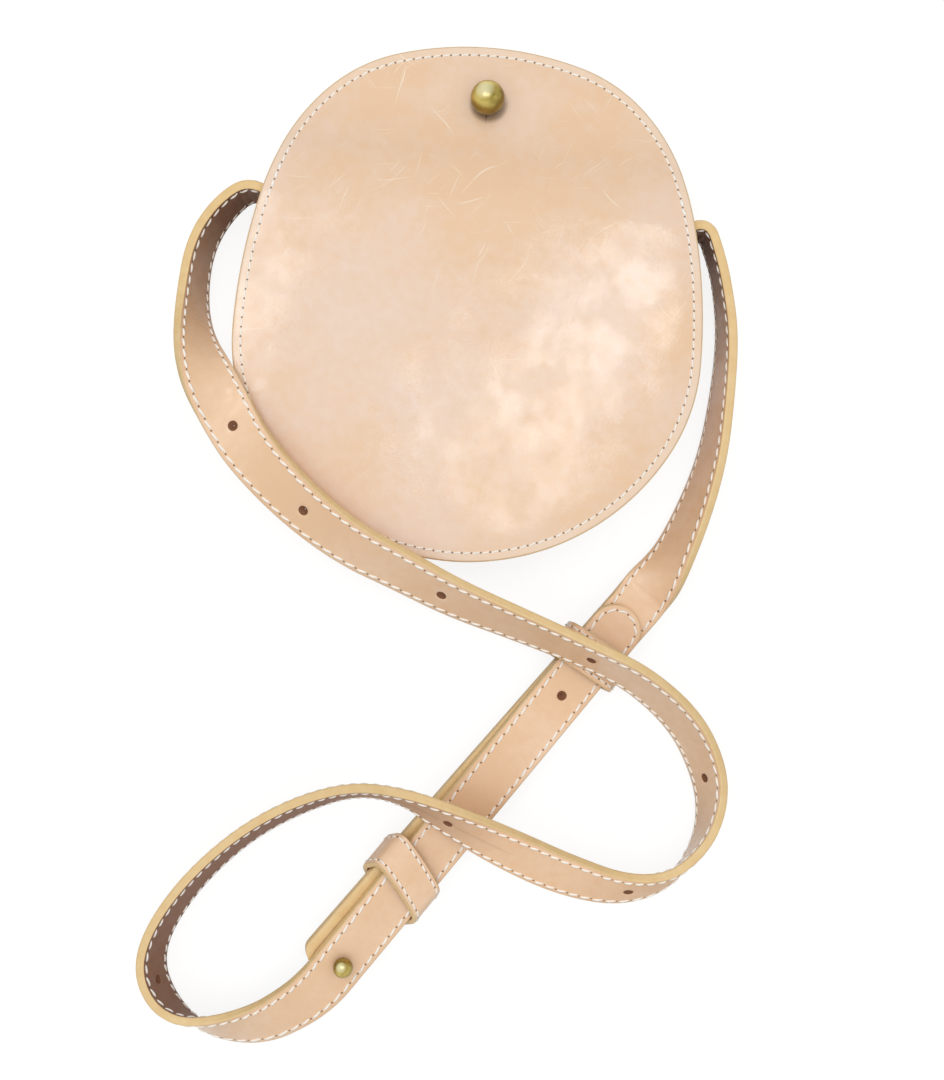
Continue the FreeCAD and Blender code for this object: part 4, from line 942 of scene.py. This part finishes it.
def keeper_points(middle, slouch, skew, aside, drop, distance, length, depth):
    """Points of a loop: the distance round a rectangle with round corners gives a corner centre and an angle, and the
    point stands the corner's radius less the depth from it, at a length along the strap. The top swells as a
    low arch and slouches towards the tip with its height, one side stands askew, and all lies aside and drops."""
    distance = np.mod(distance, keeper_stops[-1])
    angle = np.interp(distance, keeper_stops, keeper_angles)
    x = np.interp(distance, keeper_stops, centre_x) + (keeper_corner - depth) * np.cos(angle)
    z = np.interp(distance, keeper_stops, centre_z) + (keeper_corner - depth) * np.sin(angle)
    z = z + keeper_swell * np.maximum(1 - (x / keeper_half) ** 2, 0) * (z > inner_z.mean())
    _, spot, wide, up = tail_frame(np.array(middle))
    on = np.stack([aside + x, length - slouch * (z - slouch_level) - skew * x, z - drop], -1)
    return spot + on @ np.array([-wide, [*along_tail, 0.0], up])


soft = np.array([(0.50, 0.0), (0.16, 0.12), (0.0, 0.45)]) / 1000
rim = np.concatenate([soft, [(0.0, keeper_wall / 2)], np.stack([soft[::-1, 0], keeper_wall - soft[::-1, 1]], -1)])
flat = np.linspace(-1, 1, 9)[1:-1] * (keeper_length / 2 - soft[0, 0])
section = np.concatenate([
    np.stack([flat, 0 * flat], -1), np.stack([keeper_length / 2 - rim[:, 0], rim[:, 1]], -1),
    np.stack([flat[::-1], 0 * flat + keeper_wall], -1),
    np.stack([rim[:, 0] - keeper_length / 2, rim[:, 1]], -1)[::-1]])
keeper_hide = leather("waxed_keeper_cowhide", "#F5D5B6", "#ECC49D", flesh_and_shade, edge_paint, strap_wax,
                      keeper_stops[-1] / round(keeper_stops[-1] / keeper_pitch), keeper_seam)
for name, node_name, body, middle, lie in (
        ("stud_side_loop", "keeper_stud_side", "stud_side_keeper", stud_side_place, stud_side_lie),
        ("tip_side_loop", "keeper_tip_side", "tip_side_keeper", tip_side_place, tip_side_lie)):
    distance = np.arange(keeper_columns) * keeper_stops[-1] / keeper_columns
    points = keeper_points(middle, *lie, distance[None] + 0 * section[:, :1], section[:, :1] + 0 * distance[None],
                           section[:, 1:] + 0 * distance[None])
    rows = len(section)
    row, column = cells(rows, keeper_columns, True)
    loop = smooth_mesh(name, points.reshape(-1, 3), row % rows * keeper_columns + column % keeper_columns)
    inside = np.repeat(section[:, 1] > inner_face, keeper_columns)
    edge = np.repeat((section[:, 1] > 0) & (section[:, 1] < inner_face), keeper_columns)
    mark(loop, edge, inside, np.stack([column * keeper_stops[-1] / keeper_columns, section[row % rows, 0]], -1))
    loop.data.materials.append(keeper_hide)
    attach(loop, body)
    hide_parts(node_name)
    count = round(keeper_stops[-1] / keeper_pitch)
    middles = (np.arange(count) + 0.5) * keeper_stops[-1] / count
    for sign, side_name in ((1, "near"), (-1, "far")):
        thread = stitches(f"{name}_thread_{side_name}", middles, keeper_stops[-1] / count / 2 * stitch_fill,
                          lambda d, side, up: keeper_points(middle, *lie, d, sign * keeper_seam + side, -up))
        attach(thread, body)
